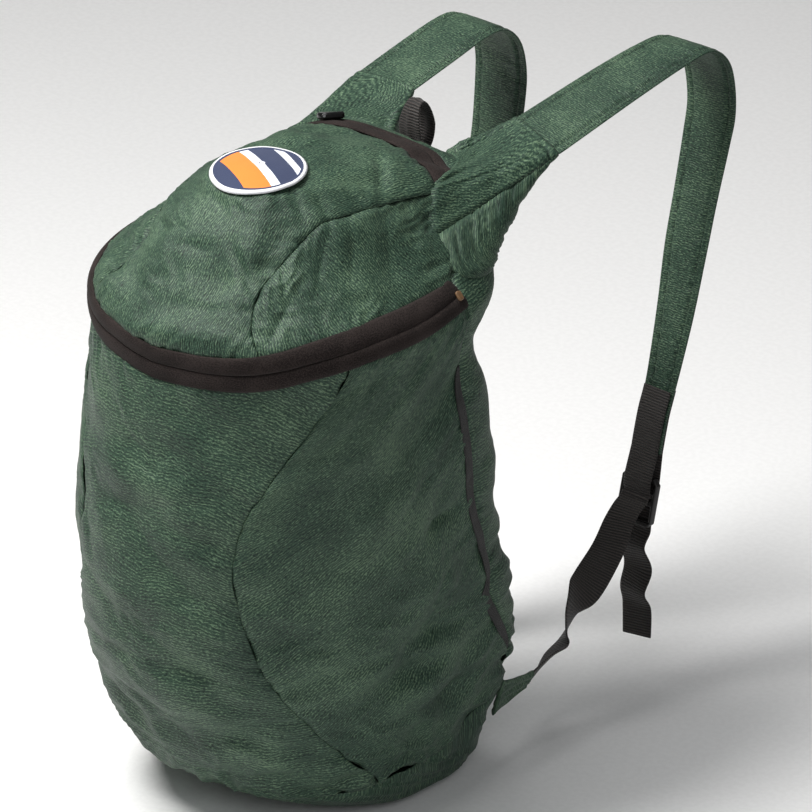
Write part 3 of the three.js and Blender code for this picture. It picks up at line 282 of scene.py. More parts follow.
def plain_point(degrees, position):
    """The smooth surface before folds, at an angle and a position among the sections."""
    turn = np.radians(degrees)
    c, s = np.cos(turn), np.sin(turn)
    level, shift, half, front, back, front_square, back_square = np.moveaxis(read_rows(SECTIONS, position), -1, 0)
    reach = np.where(s < 0, front * BODY_FRONT, back * BODY_BACK)
    square = np.where(s < 0, front_square, back_square)
    radius = (np.abs(c / (half * BODY_HALF_WIDTH)) ** square + np.abs(s / reach) ** square) ** (-1 / square)
    return np.stack([radius * c, shift * BODY_FRONT + radius * s, level * BODY_HEIGHT], -1)


TOP_POSITION = len(SECTIONS) - 1


def normal_at(degrees, position):
    position = np.asarray(position, float)
    along = plain_point(degrees + 1.5, position) - plain_point(degrees - 1.5, position)
    up = (plain_point(degrees, np.minimum(position + 0.06, TOP_POSITION - 0.01))
          - plain_point(degrees, np.maximum(position - 0.06, 0.01)))
    return unit(np.cross(along, up))


def fold_depth(points, folds, crisp=False):
    """How far the folds press the cloth in. A crisp fold is a pinched valley between raised lips."""
    total = np.zeros(points.shape[:-1])
    for degrees, level, lean, length, width, depth in folds:
        position = position_of(SECTIONS, level)
        normal = normal_at(np.float64(degrees), position)
        across = unit(np.cross([0.0, 0.0, 1.0], normal))
        steep = np.cross(normal, across)
        run = steep * math.cos(math.radians(lean)) + across * math.sin(math.radians(lean))
        away = points - plain_point(np.float64(degrees), position)
        u, v = away @ run / length, away @ np.cross(normal, run) / width
        valley = np.exp(-np.abs(v) ** 1.3) - 0.45 * np.exp(-(v / 2.4) ** 2) if crisp else np.exp(-v * v)
        total += (1.5 if crisp else 1.0) * depth * np.exp(-u * u) * valley
    return total


def cloth_point(degrees, position, proud=0.0):
    """Points of the cloth and its outward normals, standing proud by the given heights."""
    base = plain_point(degrees, position)
    normal = normal_at(degrees, position)
    depth = fold_depth(base, FOLDS)
    if np.size(depth) > 1:
        mirrored = [[180 - row[0], row[1], -row[2], *row[3:]] for row in SIDE_CREASES]
        depth = depth + fold_depth(base, SIDE_CREASES + mirrored + FRONT_CREASES, crisp=True)
    return base + normal * (proud - depth)[..., None], normal


HANG_LEVEL = (ZIP_UPPER[-1, 1] + BACK_SEAM[-1, 0]) / 2
HANG = cloth_point(np.float64(90), position_of(SECTIONS, HANG_LEVEL))[0]


# Panels: each gives the angle and position of its grid of places, rows upward and columns across


def shares(count):
    return np.linspace(0, 1, count + 1)


def mirror_degrees(degrees):
    return 180 - degrees


def wall_level(degrees, share):
    return lerp(level_on(BASE_SEAM, degrees), level_on(ZIP_LOWER, degrees), share)


def seam_degrees(seam, share):
    degrees = np.full(np.shape(share), seam[0, 1], float)
    for _ in range(25):
        degrees = look_up(seam, wall_level(degrees, share))
    return degrees


def on_wall(degrees, share):
    return degrees, position_of(SECTIONS, wall_level(degrees, share))


def front_places(rows, columns):
    v, u = shares(rows)[:, None], shares(columns)[None, :]
    right = seam_degrees(FRONT_SEAM, v)
    return on_wall(lerp(mirror_degrees(right) - 360, right, u), v + 0 * u)


def side_places(rows, columns):
    v, u = shares(rows)[:, None], shares(columns)[None, :]
    return on_wall(lerp(seam_degrees(FRONT_SEAM, v), seam_degrees(BACK_SEAM, v), u), v + 0 * u)


def back_places(rows, columns):
    """The back panel carries on past the zip's ends to the back top edge."""
    upper = max(4, round(rows * 0.14))
    v, u = shares(rows - upper)[:, None], shares(columns)[None, :]
    right = seam_degrees(BACK_SEAM, v)
    low = on_wall(lerp(right, mirror_degrees(right), u), v + 0 * u)
    level = lerp(ZIP_UPPER[-1, 1], BACK_SEAM[-1, 0], shares(upper)[:, None])
    right = look_up(BACK_SEAM, level)
    high = lerp(right, mirror_degrees(right), u), position_of(SECTIONS, level + 0 * u)
    return tuple(np.concatenate(pair) for pair in zip(low, high))


def base_places(rows, columns):
    """Rings from the middle of the base out to its seam."""
    v, u = shares(rows)[:, None], shares(columns)[None, :]
    degrees = lerp(-180, 180, u) + 0 * v
    rim = position_of(SECTIONS, level_on(BASE_SEAM, degrees))
    return degrees, rim * np.maximum(v, 0.004)


RIM_POSITION = float(position_of(SECTIONS, ZIP_UPPER[0, 1]))


def to_disk(degrees, position):
    radius = (TOP_POSITION - position) / (TOP_POSITION - RIM_POSITION)
    return np.stack([np.cos(np.radians(degrees)) * radius, np.sin(np.radians(degrees)) * radius], -1)


def from_disk(point):
    position = TOP_POSITION - np.linalg.norm(point, axis=-1) * (TOP_POSITION - RIM_POSITION)
    return np.degrees(np.arctan2(point[..., 1], point[..., 0])), np.minimum(position, TOP_POSITION - 0.02)


def plan_place(x, y, lowest=0.8):
    """The place on the lid over a point of the plan."""
    x, y = np.broadcast_arrays(np.asarray(x, float), np.asarray(y, float))
    low = np.full(x.shape, 1.0) * position_of(SECTIONS, lowest)
    high = np.full(x.shape, TOP_POSITION - 0.02)
    for _ in range(36):
        middle = (low + high) / 2
        away = y - read_rows(SECTIONS[:, 1:2], middle)[..., 0] * BODY_FRONT
        edge = plain_point(np.degrees(np.arctan2(away, x)), middle)
        outside = np.hypot(x, away) > np.hypot(edge[..., 0], edge[..., 1] - (y - away))
        low, high = np.where(outside, low, middle), np.where(outside, middle, high)
    middle = (low + high) / 2
    away = y - read_rows(SECTIONS[:, 1:2], middle)[..., 0] * BODY_FRONT
    return np.degrees(np.arctan2(away, x)), middle


def blend_grid(bottom, top, left, right, rows, columns):
    """A four-sided grid of places between four edges on the disk."""
    u, v = shares(columns), shares(rows)
    ends = np.array([0.0, 1.0])
    low, high, west, east = bottom(u)[None], top(u)[None], left(v)[:, None], right(v)[:, None]
    u, v = u[None, :, None], v[:, None, None]
    corners = [[edge(ends)[k] for k in (0, 1)] for edge in (bottom, top)]
    mixed = lerp(lerp(corners[0][0], corners[0][1], u), lerp(corners[1][0], corners[1][1], u), v)
    return from_disk(lerp(low, high, v) + lerp(west, east, u) - mixed)


def mirrored_edge(edge):
    return lambda u: edge(u) * np.array([-1, 1])


def zip_upper_point(degrees):
    return to_disk(degrees, position_of(SECTIONS, level_on(ZIP_UPPER, degrees)))


BACK_TOP_LEVEL, BACK_TOP_DEGREES = BACK_SEAM[-1]
LID_END = len(LID_SEAM) - 1


def seam_on_plan(position):
    across, back = np.moveaxis(read_rows(LID_SEAM, position), -1, 0)
    x, y = across * BODY_HALF_WIDTH, back * BODY_FRONT
    return to_disk(*plan_place(x, y, np.where(y > 0, BACK_TOP_LEVEL, ZIP_UPPER[0, 1])))


def back_top_edge(u):
    degrees = lerp(mirror_degrees(BACK_TOP_DEGREES), BACK_TOP_DEGREES, u)
    return to_disk(degrees, position_of(SECTIONS, BACK_TOP_LEVEL) + 0 * degrees)


SEAM_START_SHIFT = zip_upper_point(np.float64(LID_SEAM_START_DEGREES)) - seam_on_plan(0.0)
SEAM_END_SHIFT = back_top_edge(np.float64(1)) - seam_on_plan(float(LID_END))


def lid_seam_point(position):
    position = np.asarray(position, float)
    start, end = np.maximum(0, 1 - position), np.maximum(0, position - LID_END + 1)
    return seam_on_plan(position) + SEAM_START_SHIFT * start[..., None] + SEAM_END_SHIFT * end[..., None]


def seam_stretch(start, end):
    return lambda share: lid_seam_point(lerp(start, end, share))


def top_zip_point(share, back):
    x = lerp(-1, 1, share)
    return to_disk(*plan_place(x * TOP_ZIP_HALF_LENGTH, TOP_ZIP_SET_BACK - TOP_ZIP_BOW * x * x + back,
                               BACK_TOP_LEVEL))


def blend_ends(edge, start, end):
    def blended(share):
        first, last = np.maximum(0, 1 - 4 * share)[..., None], np.maximum(0, 4 * share - 3)[..., None]
        ends = edge(np.array([0.0, 1.0]))
        return edge(share) + (start - ends[0]) * first + (end - ends[1]) * last
    return blended


ZIP_START, ZIP_FINISH = lid_seam_point(LID_SEAM_ZIP), lid_seam_point(LID_SEAM_ZIP_END)
FLIP = np.array([-1, 1])
zip_front = blend_ends(lambda u: top_zip_point(u, 0), ZIP_START * FLIP, ZIP_START)
zip_back = blend_ends(lambda u: top_zip_point(u, TOP_ZIP_WIDTH), ZIP_FINISH * FLIP, ZIP_FINISH)


def lid_places(rows, columns):
    def front_edge(u):
        return zip_upper_point(lerp(mirror_degrees(LID_SEAM_START_DEGREES) - 360, LID_SEAM_START_DEGREES, u))
    right = seam_stretch(0, LID_SEAM_ZIP)
    return blend_grid(front_edge, zip_front, mirrored_edge(right), right, rows, columns)


def yoke_places(rows, columns):
    right = seam_stretch(LID_SEAM_ZIP_END, LID_END)
    return blend_grid(zip_back, back_top_edge, mirrored_edge(right), right, rows, columns)


def top_zip_places(rows, columns):
    right = seam_stretch(LID_SEAM_ZIP, LID_SEAM_ZIP_END)
    return blend_grid(zip_front, zip_back, mirrored_edge(right), right, rows, columns)


def back_seam_point(level):
    return to_disk(look_up(BACK_SEAM, level), position_of(SECTIONS, level))


def lid_side_places(rows, columns):
    bottom = blend_ends(lambda u: zip_upper_point(lerp(LID_SEAM_START_DEGREES, ZIP_END_DEGREES, u)),
                        lid_seam_point(0.0), back_seam_point(ZIP_UPPER[-1, 1]))
    return blend_grid(bottom, seam_stretch(LID_SEAM_CORNER, LID_END), seam_stretch(0, LID_SEAM_CORNER),
                      lambda v: back_seam_point(lerp(ZIP_UPPER[-1, 1], BACK_TOP_LEVEL, v)), rows, columns)


def main_zip_places(rows, columns, low=0.0, high=1.0):
    v, u = shares(rows)[:, None], shares(columns)[None, :]
    degrees = lerp(mirror_degrees(ZIP_END_DEGREES) - 360, ZIP_END_DEGREES, u) + 0 * v
    level = lerp(level_on(ZIP_LOWER, degrees), level_on(ZIP_UPPER, degrees), lerp(low, high, v))
    return degrees, position_of(SECTIONS, level)


# Noise for creases, repeatable by seed


def soft_noise(x, y, seed):
    """Smooth noise from about -1 to 1 on a lattice of 1."""
    angles = np.random.default_rng(seed).uniform(0, 2 * np.pi, 4096)
    x, y = np.broadcast_arrays(np.asarray(x, float), np.asarray(y, float))
    i, j = np.floor(x).astype(int), np.floor(y).astype(int)
    f, g = x - i, y - j
    total = np.zeros(x.shape)
    for di in (0, 1):
        for dj in (0, 1):
            turn = angles[((i + di) * 7919 + (j + dj) * 104729) % 4096]
            df, dg = f - di, g - dj
            reach = (1 - np.abs(df)) ** 2 * (1 + 2 * np.abs(df)) * (1 - np.abs(dg)) ** 2 * (1 + 2 * np.abs(dg))
            total += reach * (np.cos(turn) * df + np.sin(turn) * dg)
    return total * 1.6


def crease_noise(x, y, seed):
    """Noise with sharp ridges, as pinched cloth has: 1 on a ridge, falling to about -0.6."""
    bent = 0.35 * soft_noise(x * 0.7, y * 0.7, seed + 50)
    return 1 - 3.2 * np.abs(soft_noise(x + bent, y - bent, seed))


def grid_spans(points):
    """Arc lengths along a grid's rows and columns, in millimetres, from its first column and row."""
    along = np.linalg.norm(np.diff(points, axis=1), axis=-1)
    up = np.linalg.norm(np.diff(points, axis=0), axis=-1)
    s = np.concatenate([np.zeros((len(points), 1)), np.cumsum(along, 1)], 1)
    t = np.concatenate([np.zeros((1, points.shape[1])), np.cumsum(up, 0)])
    return s, t


def edge_puckers(s, t, edge, seed, depth, reach, period):
    """Puckers that run in from one edge of a panel: short ridges square to the seam that fade inward."""
    away, run = {
        "left": (s, t), "right": (s[:, -1:] - s, t), "bottom": (t, s), "top": (t[-1:] - t, s),
    }[edge]
    ridges = crease_noise(run / period, away / (reach * 1.6), seed)
    patchy = 0.6 + 0.6 * soft_noise(run / (period * 4.3), away / 90, seed + 7)
    return depth * ridges * np.clip(patchy, 0.1, 1.2) * np.exp(-(away / reach) ** 1.4)


def seam_groove(away, depth, width):
    return -depth * np.exp(-(away / width) ** 1.6)


def crumple(s, t, seed, fine, broad):
    """Soft crumpling all over a panel: fine creases and broad hollows."""
    creases = crease_noise(s / 17, t / 13, seed) * np.clip(soft_noise(s / 60, t / 60, seed + 3) + 0.35, 0, 1)
    hollows = soft_noise(s / 46, t / 38, seed + 9) + 0.5 * soft_noise(s / 24, t / 20, seed + 15)
    return fine * creases + broad * hollows


# Meshes


def to_metres(points):
    return (points - HANG) * MM


def link_mesh(name, bm):
    """Puts a finished bmesh into the scene as a piece."""
    mesh = bpy.data.meshes.new(name)
    bm.to_mesh(mesh)
    bm.free()
    piece = bpy.data.objects.new(name, mesh)
    bpy.context.scene.collection.objects.link(piece)
    return piece


def grid_mesh(name, points, uv, closed=False, flip=False):
    """A piece from a grid of points in millimetres, with its UV in millimetres. A closed grid's columns
    meet, as do the points of a row that is drawn together."""
    rows, columns = points.shape[:2]
    if flip:
        points, uv = points[:, ::-1], uv[:, ::-1]
    bm = bmesh.new()
    bmesh.ops.create_grid(bm, x_segments=columns - 1, y_segments=rows - 1, size=1)
    layer = bm.loops.layers.uv.new("Cloth")
    places = to_metres(points)
    for vert in bm.verts:
        vert.index = (round((vert.co.y + 1) / 2 * (rows - 1)) * columns + round((vert.co.x + 1) / 2 * (columns - 1)))
    flat_places, flat_uv = places.reshape(-1, 3), uv.reshape(-1, 2)
    for face in bm.faces:
        face.smooth = True
        for loop in face.loops:
            loop[layer].uv = flat_uv[loop.vert.index]
    for vert in bm.verts:
        vert.co = flat_places[vert.index]
    if closed:
        bmesh.ops.remove_doubles(bm, verts=bm.verts, dist=1e-6)
    return link_mesh(name, bm)


def behind_back(row, side):
    across, behind, level = row[:3]
    return np.array([SIDES[side] * across * BODY_HALF_WIDTH, BODY_BACK + behind * STRAP_ARCH, level * BODY_HEIGHT])


def placed_rows(rows, side):
    """Route rows as x, y, z, turn, tilt, broad in millimetres and degrees."""
    return np.array([[*behind_back(row, side), *row[3:]] for row in rows], float)


def even_rows(rows, count, start=0.0, end=1.0):
    """Reads a route smoothly at even lengths along it."""
    position = np.linspace(0, len(rows) - 1, 16 * len(rows))
    fine = read_rows(rows, position)
    run = np.concatenate([[0], np.cumsum(np.linalg.norm(np.diff(fine[:, :3], axis=0), axis=1))])
    wanted = np.linspace(start, end, count + 1) * run[-1]
    return read_rows(rows, np.interp(wanted, run, position))


def band_frame(stations):
    """Middle line, sideways and outward directions, and length so far, of a band's stations."""
    middle = stations[:, :3]
    tangent = unit(np.gradient(middle, axis=0))
    turn, tilt = np.radians(stations[:, 3]), np.radians(stations[:, 4])
    side = np.stack([np.cos(turn) * np.cos(tilt), np.sin(turn) * np.cos(tilt), np.sin(tilt)], -1)
    side = unit(side - tangent * (side * tangent).sum(-1, keepdims=True))
    run = np.concatenate([[0], np.cumsum(np.linalg.norm(np.diff(middle, axis=0), axis=1))])
    return middle, side, np.cross(side, tangent), run


def band_piece(name, stations, width, wall, relief=None, columns=14, lift=0.0, edge_power=8):
    """A closed strip swept along its stations. relief(across_mm, run_mm, face, half_width_mm) adds to
    the outer face (face 1) and the inner face (face -1)."""
    middle, side, outward, run = band_frame(stations)
    half = (width * stations[:, 5] / 2)[:, None]
    across = np.sin(np.linspace(-np.pi / 2, np.pi / 2, columns + 1))
    across = np.sign(across) * np.abs(across) ** 0.85
    faces = []
    for face in (1, -1):
        share = across[None, :] if face == 1 else across[None, ::-1]
        height = wall / 2 * (1 - np.abs(share) ** edge_power) ** 0.5
        extra = relief(share * half, run[:, None], face, half) if relief else 0 * half
        height = height + extra * (1 - np.abs(share) ** (2 * edge_power))
        grid = (middle[:, None] + side[:, None] * (share * half)[..., None]
                + outward[:, None] * (face * height + lift)[..., None])
        faces.append((grid, np.stack([share * half + 400 * (face < 0), run[:, None] + 0 * share], -1)))
    points = np.concatenate([faces[0][0], faces[1][0][:, 1:]], 1)
    uv = np.concatenate([faces[0][1], faces[1][1][:, 1:]], 1)
    first = points[:, :1].copy()
    points[:, -1:] = first
    ends = [np.repeat(points[k].mean(0)[None, None], points.shape[1], 1) for k in (0, -1)]
    points = np.concatenate([ends[0], points, ends[1]])
    uv = np.concatenate([uv[:1], uv, uv[-1:]])
    piece = grid_mesh(name, points, uv, closed=True)
    bm = bmesh.new()
    bm.from_mesh(piece.data)
    bmesh.ops.recalc_face_normals(bm, faces=bm.faces)
    bm.to_mesh(piece.data)
    bm.free()
    return piece


def grid_normals(points, outward_from):
    """Normals of a grid of points, turned away from the given line of inner points."""
    normals = unit(np.cross(np.gradient(points, axis=1), np.gradient(points, axis=0)))
    away = ((points - outward_from) * normals).sum(-1, keepdims=True)
    return normals * np.sign(away.mean())


def stitch_row(name, path, normals, thread="thread", pitch=None, size=(2.3, 0.62, 0.4), sink=0.12):
    """A row of lockstitches along a path: one short, low ellipsoid for each."""
    pitch = pitch or bag().stitch_pitch / MM
    run = np.concatenate([[0], np.cumsum(np.linalg.norm(np.diff(path, axis=0), axis=1))])
    wanted = np.arange(pitch / 2, run[-1], pitch)
    read = [np.stack([np.interp(wanted, run, grid[:, k]) for k in range(3)], -1) for grid in (path, normals)]
    ahead = np.stack([np.interp(wanted + 0.5, run, path[:, k]) for k in range(3)], -1)
    bm = bmesh.new()
    for place, up, beyond in zip(read[0], unit(read[1]), ahead):
        along = unit(beyond - place)
        if not np.isfinite(along).all() or np.linalg.norm(beyond - place) < 1e-6:
            continue
        across = unit(np.cross(up, along))
        axes = np.stack([along * size[0], across * size[1], np.cross(along, across) * size[2]], 1) * MM / 2
        matrix = Matrix(axes.tolist()).to_4x4()
        matrix.translation = Vector(to_metres(place - up * sink))
        bmesh.ops.create_icosphere(bm, subdivisions=1, radius=1.0, matrix=matrix)
    for face in bm.faces:
        face.smooth = True
    return wear(link_mesh(name, bm), finish(thread))


def inset_line(points, normals, spans, edge, distance):
    """The line that runs along an edge of a grid at a distance from it, with its normals."""
    s, t = spans
    away = {"left": s, "right": s[:, -1:] - s, "bottom": t, "top": t[-1:] - t}[edge]
    if edge in ("left", "right"):
        lines = [(away[k], points[k], normals[k]) for k in range(len(away))]
    else:
        lines = [(away[:, k], points[:, k], normals[:, k]) for k in range(away.shape[1])]
    step = -1 if edge in ("right", "top") else 1
    read = [[[np.interp(distance, line[0][::step], grid[::step, axis]) for axis in range(3)]
             for grid in line[1:]] for line in lines]
    return tuple(np.array(read).swapaxes(0, 1))


def wear(piece, material, stands_for=()):
    """Gives a piece its material and its body, and hides the nodes it stands for."""
    piece.data.materials.append(material)
    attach(piece, "root")
    if stands_for:
        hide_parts(*stands_for)
    return piece


def thicken(piece, thickness=None):
    """Gives cloth its thickness, inward from its outer face."""
    solid = piece.modifiers.new("Cloth thickness", "SOLIDIFY")
    solid.thickness = bag().cloth_wall if thickness is None else thickness * MM
    solid.offset = -1.0


def cloth_panel(name, places, node, relief, material, mirrored=False, seams=()):
    """A panel of cloth on the bag's surface, its relief given by the lengths along its rows and columns,
    with rows of stitches at distances from its edges."""
    points, normals = cloth_point(*places)
    s, t = grid_spans(points)
    points = points + normals * relief(s, t)[..., None]
    uv = np.stack([s - s[:, s.shape[1] // 2][:, None], t], -1)
    if mirrored:
        points, normals = points * MIRROR, normals * MIRROR
    piece = grid_mesh(name, points, uv, flip=mirrored)
    thicken(piece)
    for number, (edge, distance) in enumerate(seams):
        path, facing = inset_line(points, normals, (s, t), edge, distance)
        stitch_row(f"{name}_stitches_{number}", path, facing)
    return wear(piece, material, stands_for=[node])


# Materials


def add(tree, kind, inputs=None, stops=(), **settings):
    """Adds a node with its settings, its input values or links, and a colour ramp's stops. A node given as an
    input is linked by its first output."""
    made = tree.nodes.new(kind)
    for key, value in settings.items():
        setattr(made, key, value)
    for key, value in (inputs or {}).items():
        if isinstance(value, bpy.types.Node):
            value = value.outputs[0]
        if isinstance(value, bpy.types.NodeSocket):
            tree.links.new(value, made.inputs[key])
        else:
            made.inputs[key].default_value = value
    for number, (place, colour) in enumerate(stops):
        points = made.color_ramp.elements
        point = points[number] if number < 2 else points.new(1.0)
        point.position, point.color = place, colour
    return made


def new_material(name, roughness, **shader_values):
    """A material with a plain shader, and the function that adds its nodes."""
    material = bpy.data.materials.new(name)
    material.use_nodes = True
    shader = material.node_tree.nodes["Principled BSDF"]
    shader.inputs["Roughness"].default_value = roughness
    for key, value in shader_values.items():
        shader.inputs[key.replace("_", " ")].default_value = value
    return material, shader, partial(add, material.node_tree)


def cloth_noise(node, place, along, up, detail=2.0, roughness=0.5):
    """Noise on the cloth, its grains of a real size in millimetres along the rows and up them."""
    sized = node("ShaderNodeMapping", {"Vector": place, "Scale": (1 / along, 1 / up, 1)})
    return node("ShaderNodeTexNoise", {"Vector": sized, "Scale": 1.0, "Detail": detail, "Roughness": roughness})


def show(material, shader, node, colour, height, strength, depth):
    """Puts a material's colour, and its height as a bump of a depth in millimetres, on its shader."""
    bump = node("ShaderNodeBump", {"Height": height, "Strength": strength, "Distance": depth * MM})
    colour = colour.outputs[0] if isinstance(colour, bpy.types.Node) else colour
    material.node_tree.links.new(colour, shader.inputs["Base Color"])
    material.node_tree.links.new(bump.outputs[0], shader.inputs["Normal"])
    return material


def crinkled_nylon(name, seed, pitch=2.4, dash=5.0, turn=0.0, waver=1.6):
    """Parachute nylon, calendered thin and crinkle finished: rows of tiny wrinkles, of a pitch and a length in
    millimetres, lie across the cloth, with painted highlight on their ridges and painted shade between them, over
    soft patches where dye and pressing vary.
    The real wrinkles are finer than a pixel, so the rows are as coarse as they need to be to show."""
    material, shader, node = new_material(name, 0.55, Sheen_Weight=0.04, Sheen_Roughness=0.4,
                                          Specular_IOR_Level=0.28)
    place = node("ShaderNodeMapping", {"Vector": node("ShaderNodeUVMap", uv_map="Cloth"), "Rotation": (0, 0, turn),
                                       "Location": (seed * 31.7, seed * 17.3, 0)})
    up = node("ShaderNodeSeparateXYZ", {"Vector": place}).outputs["Y"]
    phase = node("ShaderNodeMath", {0: up, 1: 2 * math.pi / pitch}, operation="MULTIPLY")
    for along, high, turns in ((34, 26, 2 * waver), (dash, 1.6 * pitch, 1.6)):
        bend = cloth_noise(node, place, along, high, detail=1.0)
        phase = node("ShaderNodeMath", {0: bend, 1: 2 * math.pi * turns, 2: phase}, operation="MULTIPLY_ADD")
    wave = node("ShaderNodeMath", {0: phase}, operation="SINE")
    strength = node("ShaderNodeMapRange", {"Value": cloth_noise(node, place, 1.3 * dash, pitch), "From Min": 0.3,
                                           "From Max": 0.62, "To Min": 0.3, "To Max": 1.0})
    rows = node("ShaderNodeMath", {0: wave, 1: strength}, operation="MULTIPLY")
    grain = cloth_noise(node, place, 2.2, 0.8, detail=3.0, roughness=0.7)
    patch = cloth_noise(node, place, 50, 50, detail=3.0, roughness=0.55)
    # The tone follows the height of the grain and the rows of wrinkles, so the ramp paints shade in the valleys and
    # highlight on the ridges; the large patches are random dye tone
    tone = node("ShaderNodeMath", {0: grain, 1: 1.8, 2: -0.7}, operation="MULTIPLY_ADD")
    for part, weight in ((patch, 0.6), (rows, 0.2)):
        tone = node("ShaderNodeMath", {0: part, 1: weight, 2: tone}, operation="MULTIPLY_ADD")
    tones = zip((0.15, 0.5, 0.88), (bag().nylon_valley_painted_shade, bag().nylon_middle, bag().nylon_ridge_painted_highlight))
    colour = node("ShaderNodeValToRGB", {"Fac": tone}, stops=tones)
    colour.color_ramp.interpolation = "EASE"
    height = node("ShaderNodeMath", {0: rows, 1: 0.35, 2: grain}, operation="MULTIPLY_ADD")
    return show(material, shader, node, colour, height, bag().crinkle, 0.5)


def ribbed_webbing(name, dark, light, pitch=2.0):
    """Polyester webbing, woven in heavy ribs that run across it; the colour follows the ribs' height, a painted
    highlight on each rib and painted shade between them, in fine rows.
    """
    material, shader, node = new_material(name, 0.62, Sheen_Weight=0.12, Specular_IOR_Level=0.35)
    place = node("ShaderNodeUVMap", uv_map="Cloth")
    up = node("ShaderNodeSeparateXYZ", {"Vector": place}).outputs["Y"]
    run = node("ShaderNodeMath", {0: cloth_noise(node, place, 4, 4), 1: 0.6, 2: up}, operation="MULTIPLY_ADD")
    turns = node("ShaderNodeMath", {0: run, 1: 2 * math.pi / pitch}, operation="MULTIPLY")
    rib = node("ShaderNodeMath", {0: turns}, operation="SINE")
    threads = cloth_noise(node, place, 0.8, pitch)
    height = node("ShaderNodeMath", {0: rib, 1: 0.5, 2: threads}, operation="MULTIPLY_ADD")
    # Colour from the rib height: painted highlight on the rib tops, painted shade between them
    colour = node("ShaderNodeValToRGB", {"Fac": height}, stops=((0.2, linear(dark)), (0.95, linear(light))))
    colour.color_ramp.interpolation = "EASE"
    return show(material, shader, node, colour, height, 0.8, 0.5)


def zip_tape(name, dark, light):
    """Knitted polyester zip tape, matte, its fine herringbone only just showing."""
    material, shader, node = new_material(name, 0.9, Sheen_Weight=0.02, Specular_IOR_Level=0.12)
    place = node("ShaderNodeUVMap", uv_map="Cloth")
    knit = cloth_noise(node, place, 1.1, 0.9, roughness=0.7)
    patch = cloth_noise(node, place, 25, 25)
    tone = node("ShaderNodeMath", {0: patch, 1: 0.4, 2: knit}, operation="MULTIPLY_ADD")
    colour = node("ShaderNodeValToRGB", {"Fac": tone}, stops=((0.5, linear(dark)), (0.9, linear(light))))
    colour.color_ramp.interpolation = "EASE"
    return show(material, shader, node, colour, knit, 0.5, 0.3)


def plain_finish(name, dark, light, roughness, grain, depth, **shader_values):
    """Moulded, enamelled or spun surfaces: a fine grain of a real size moves the tone and the height."""
    material, shader, node = new_material(name, roughness, **shader_values)
    place = node("ShaderNodeTexCoord").outputs["Object"]
    noise = node("ShaderNodeTexNoise", {"Vector": place, "Scale": 1 / (grain * MM), "Detail": 3.0})
    colour = node("ShaderNodeValToRGB", {"Fac": noise}, stops=((0.35, linear(dark)), (0.65, linear(light))))
    colour.color_ramp.interpolation = "EASE"
    return show(material, shader, node, colour, noise, 0.4, depth)


def woven_patch(name):
    """A woven polyester patch, flat and matte, with a white overlocked rim that catches more light and plain
    slanted bands of thread."""
    material, shader, node = new_material(name, 0.68, Sheen_Weight=0.2, Specular_IOR_Level=0.3)
    place = node("ShaderNodeUVMap", uv_map="Cloth")
    slanted = node("ShaderNodeMapping", {"Vector": place, "Rotation": (0, 0, math.radians(24))})
    across = node("ShaderNodeSeparateXYZ", {"Vector": slanted}).outputs["Y"]
    half, rim_width, navy_width = PATCH_DIAMETER / 2, 2.2, 3.9
    band = node("ShaderNodeMapRange", {"Value": across, "From Min": -half, "From Max": half})
    navy, white, orange, rim_white = (linear(tone) for tone in ("#28324f", "#d3d6dd", "#e07c2c", "#dcdde1"))
    colour = node("ShaderNodeValToRGB", {"Fac": band}, stops=(
        (0.0, navy), (0.2, orange), (0.46, white), (0.56, navy), (0.8, white), (0.88, navy)))
    colour.color_ramp.interpolation = "CONSTANT"
    away = node("ShaderNodeVectorMath", {0: place}, operation="LENGTH").outputs["Value"]
    for width, tone in ((navy_width, navy), (rim_width, rim_white)):
        outside = node("ShaderNodeMath", {0: away, 1: half - width}, operation="GREATER_THAN")
        colour = node("ShaderNodeMix", {"Factor": outside, "A": colour, "B": tone}, data_type="RGBA")
        colour = colour.outputs["Result"]
    weave = cloth_noise(node, place, 0.91, 0.91)
    return show(material, shader, node, colour, weave, 0.4, 0.3)


class BackpackProperties(bpy.types.PropertyGroup):
    """Sizes and colours of the bag that a user would change."""

    crumple: FloatProperty(name="Crumple", description="How deep the broad hollows of the stuffed cloth are",
                           default=0.0017, min=0.0, max=0.004, unit="LENGTH")
    crinkle: FloatProperty(name="Crinkle", description="Strength of the fine crinkle of the nylon",
                           default=0.55, min=0.0, max=1.0, subtype="FACTOR")
    cloth_wall: FloatProperty(name="Cloth thickness", description="Thickness of a panel of cloth",
                              default=0.0006, min=0.0002, max=0.002, unit="LENGTH")
    stitch_pitch: FloatProperty(name="Stitch pitch", description="From one stitch to the next",
                                default=0.0034, min=0.002, max=0.008, unit="LENGTH")
    # The valley colour is painted shade between the nylon's wrinkles, and the ridge colour is painted highlight on
    # them
    nylon_valley_painted_shade: FloatVectorProperty(name="Nylon valleys", description="Colour between the nylon's wrinkles",
                                      size=4, subtype="COLOR", default=linear("#0d1d15"), min=0.0, max=1.0)
    nylon_middle: FloatVectorProperty(name="Nylon", description="Middle colour of the nylon",
                                      size=4, subtype="COLOR", default=linear("#2a4134"), min=0.0, max=1.0)
    nylon_ridge_painted_highlight: FloatVectorProperty(name="Nylon ridges", description="Colour on the nylon's wrinkles",
                                     size=4, subtype="COLOR", default=linear("#637a60"), min=0.0, max=1.0)
    lamp_power: FloatProperty(name="Key light", description="Power of the large soft box", default=34.0,
                              min=0.0, max=500.0, unit="POWER")


def bag():
    return bpy.context.scene.backpack


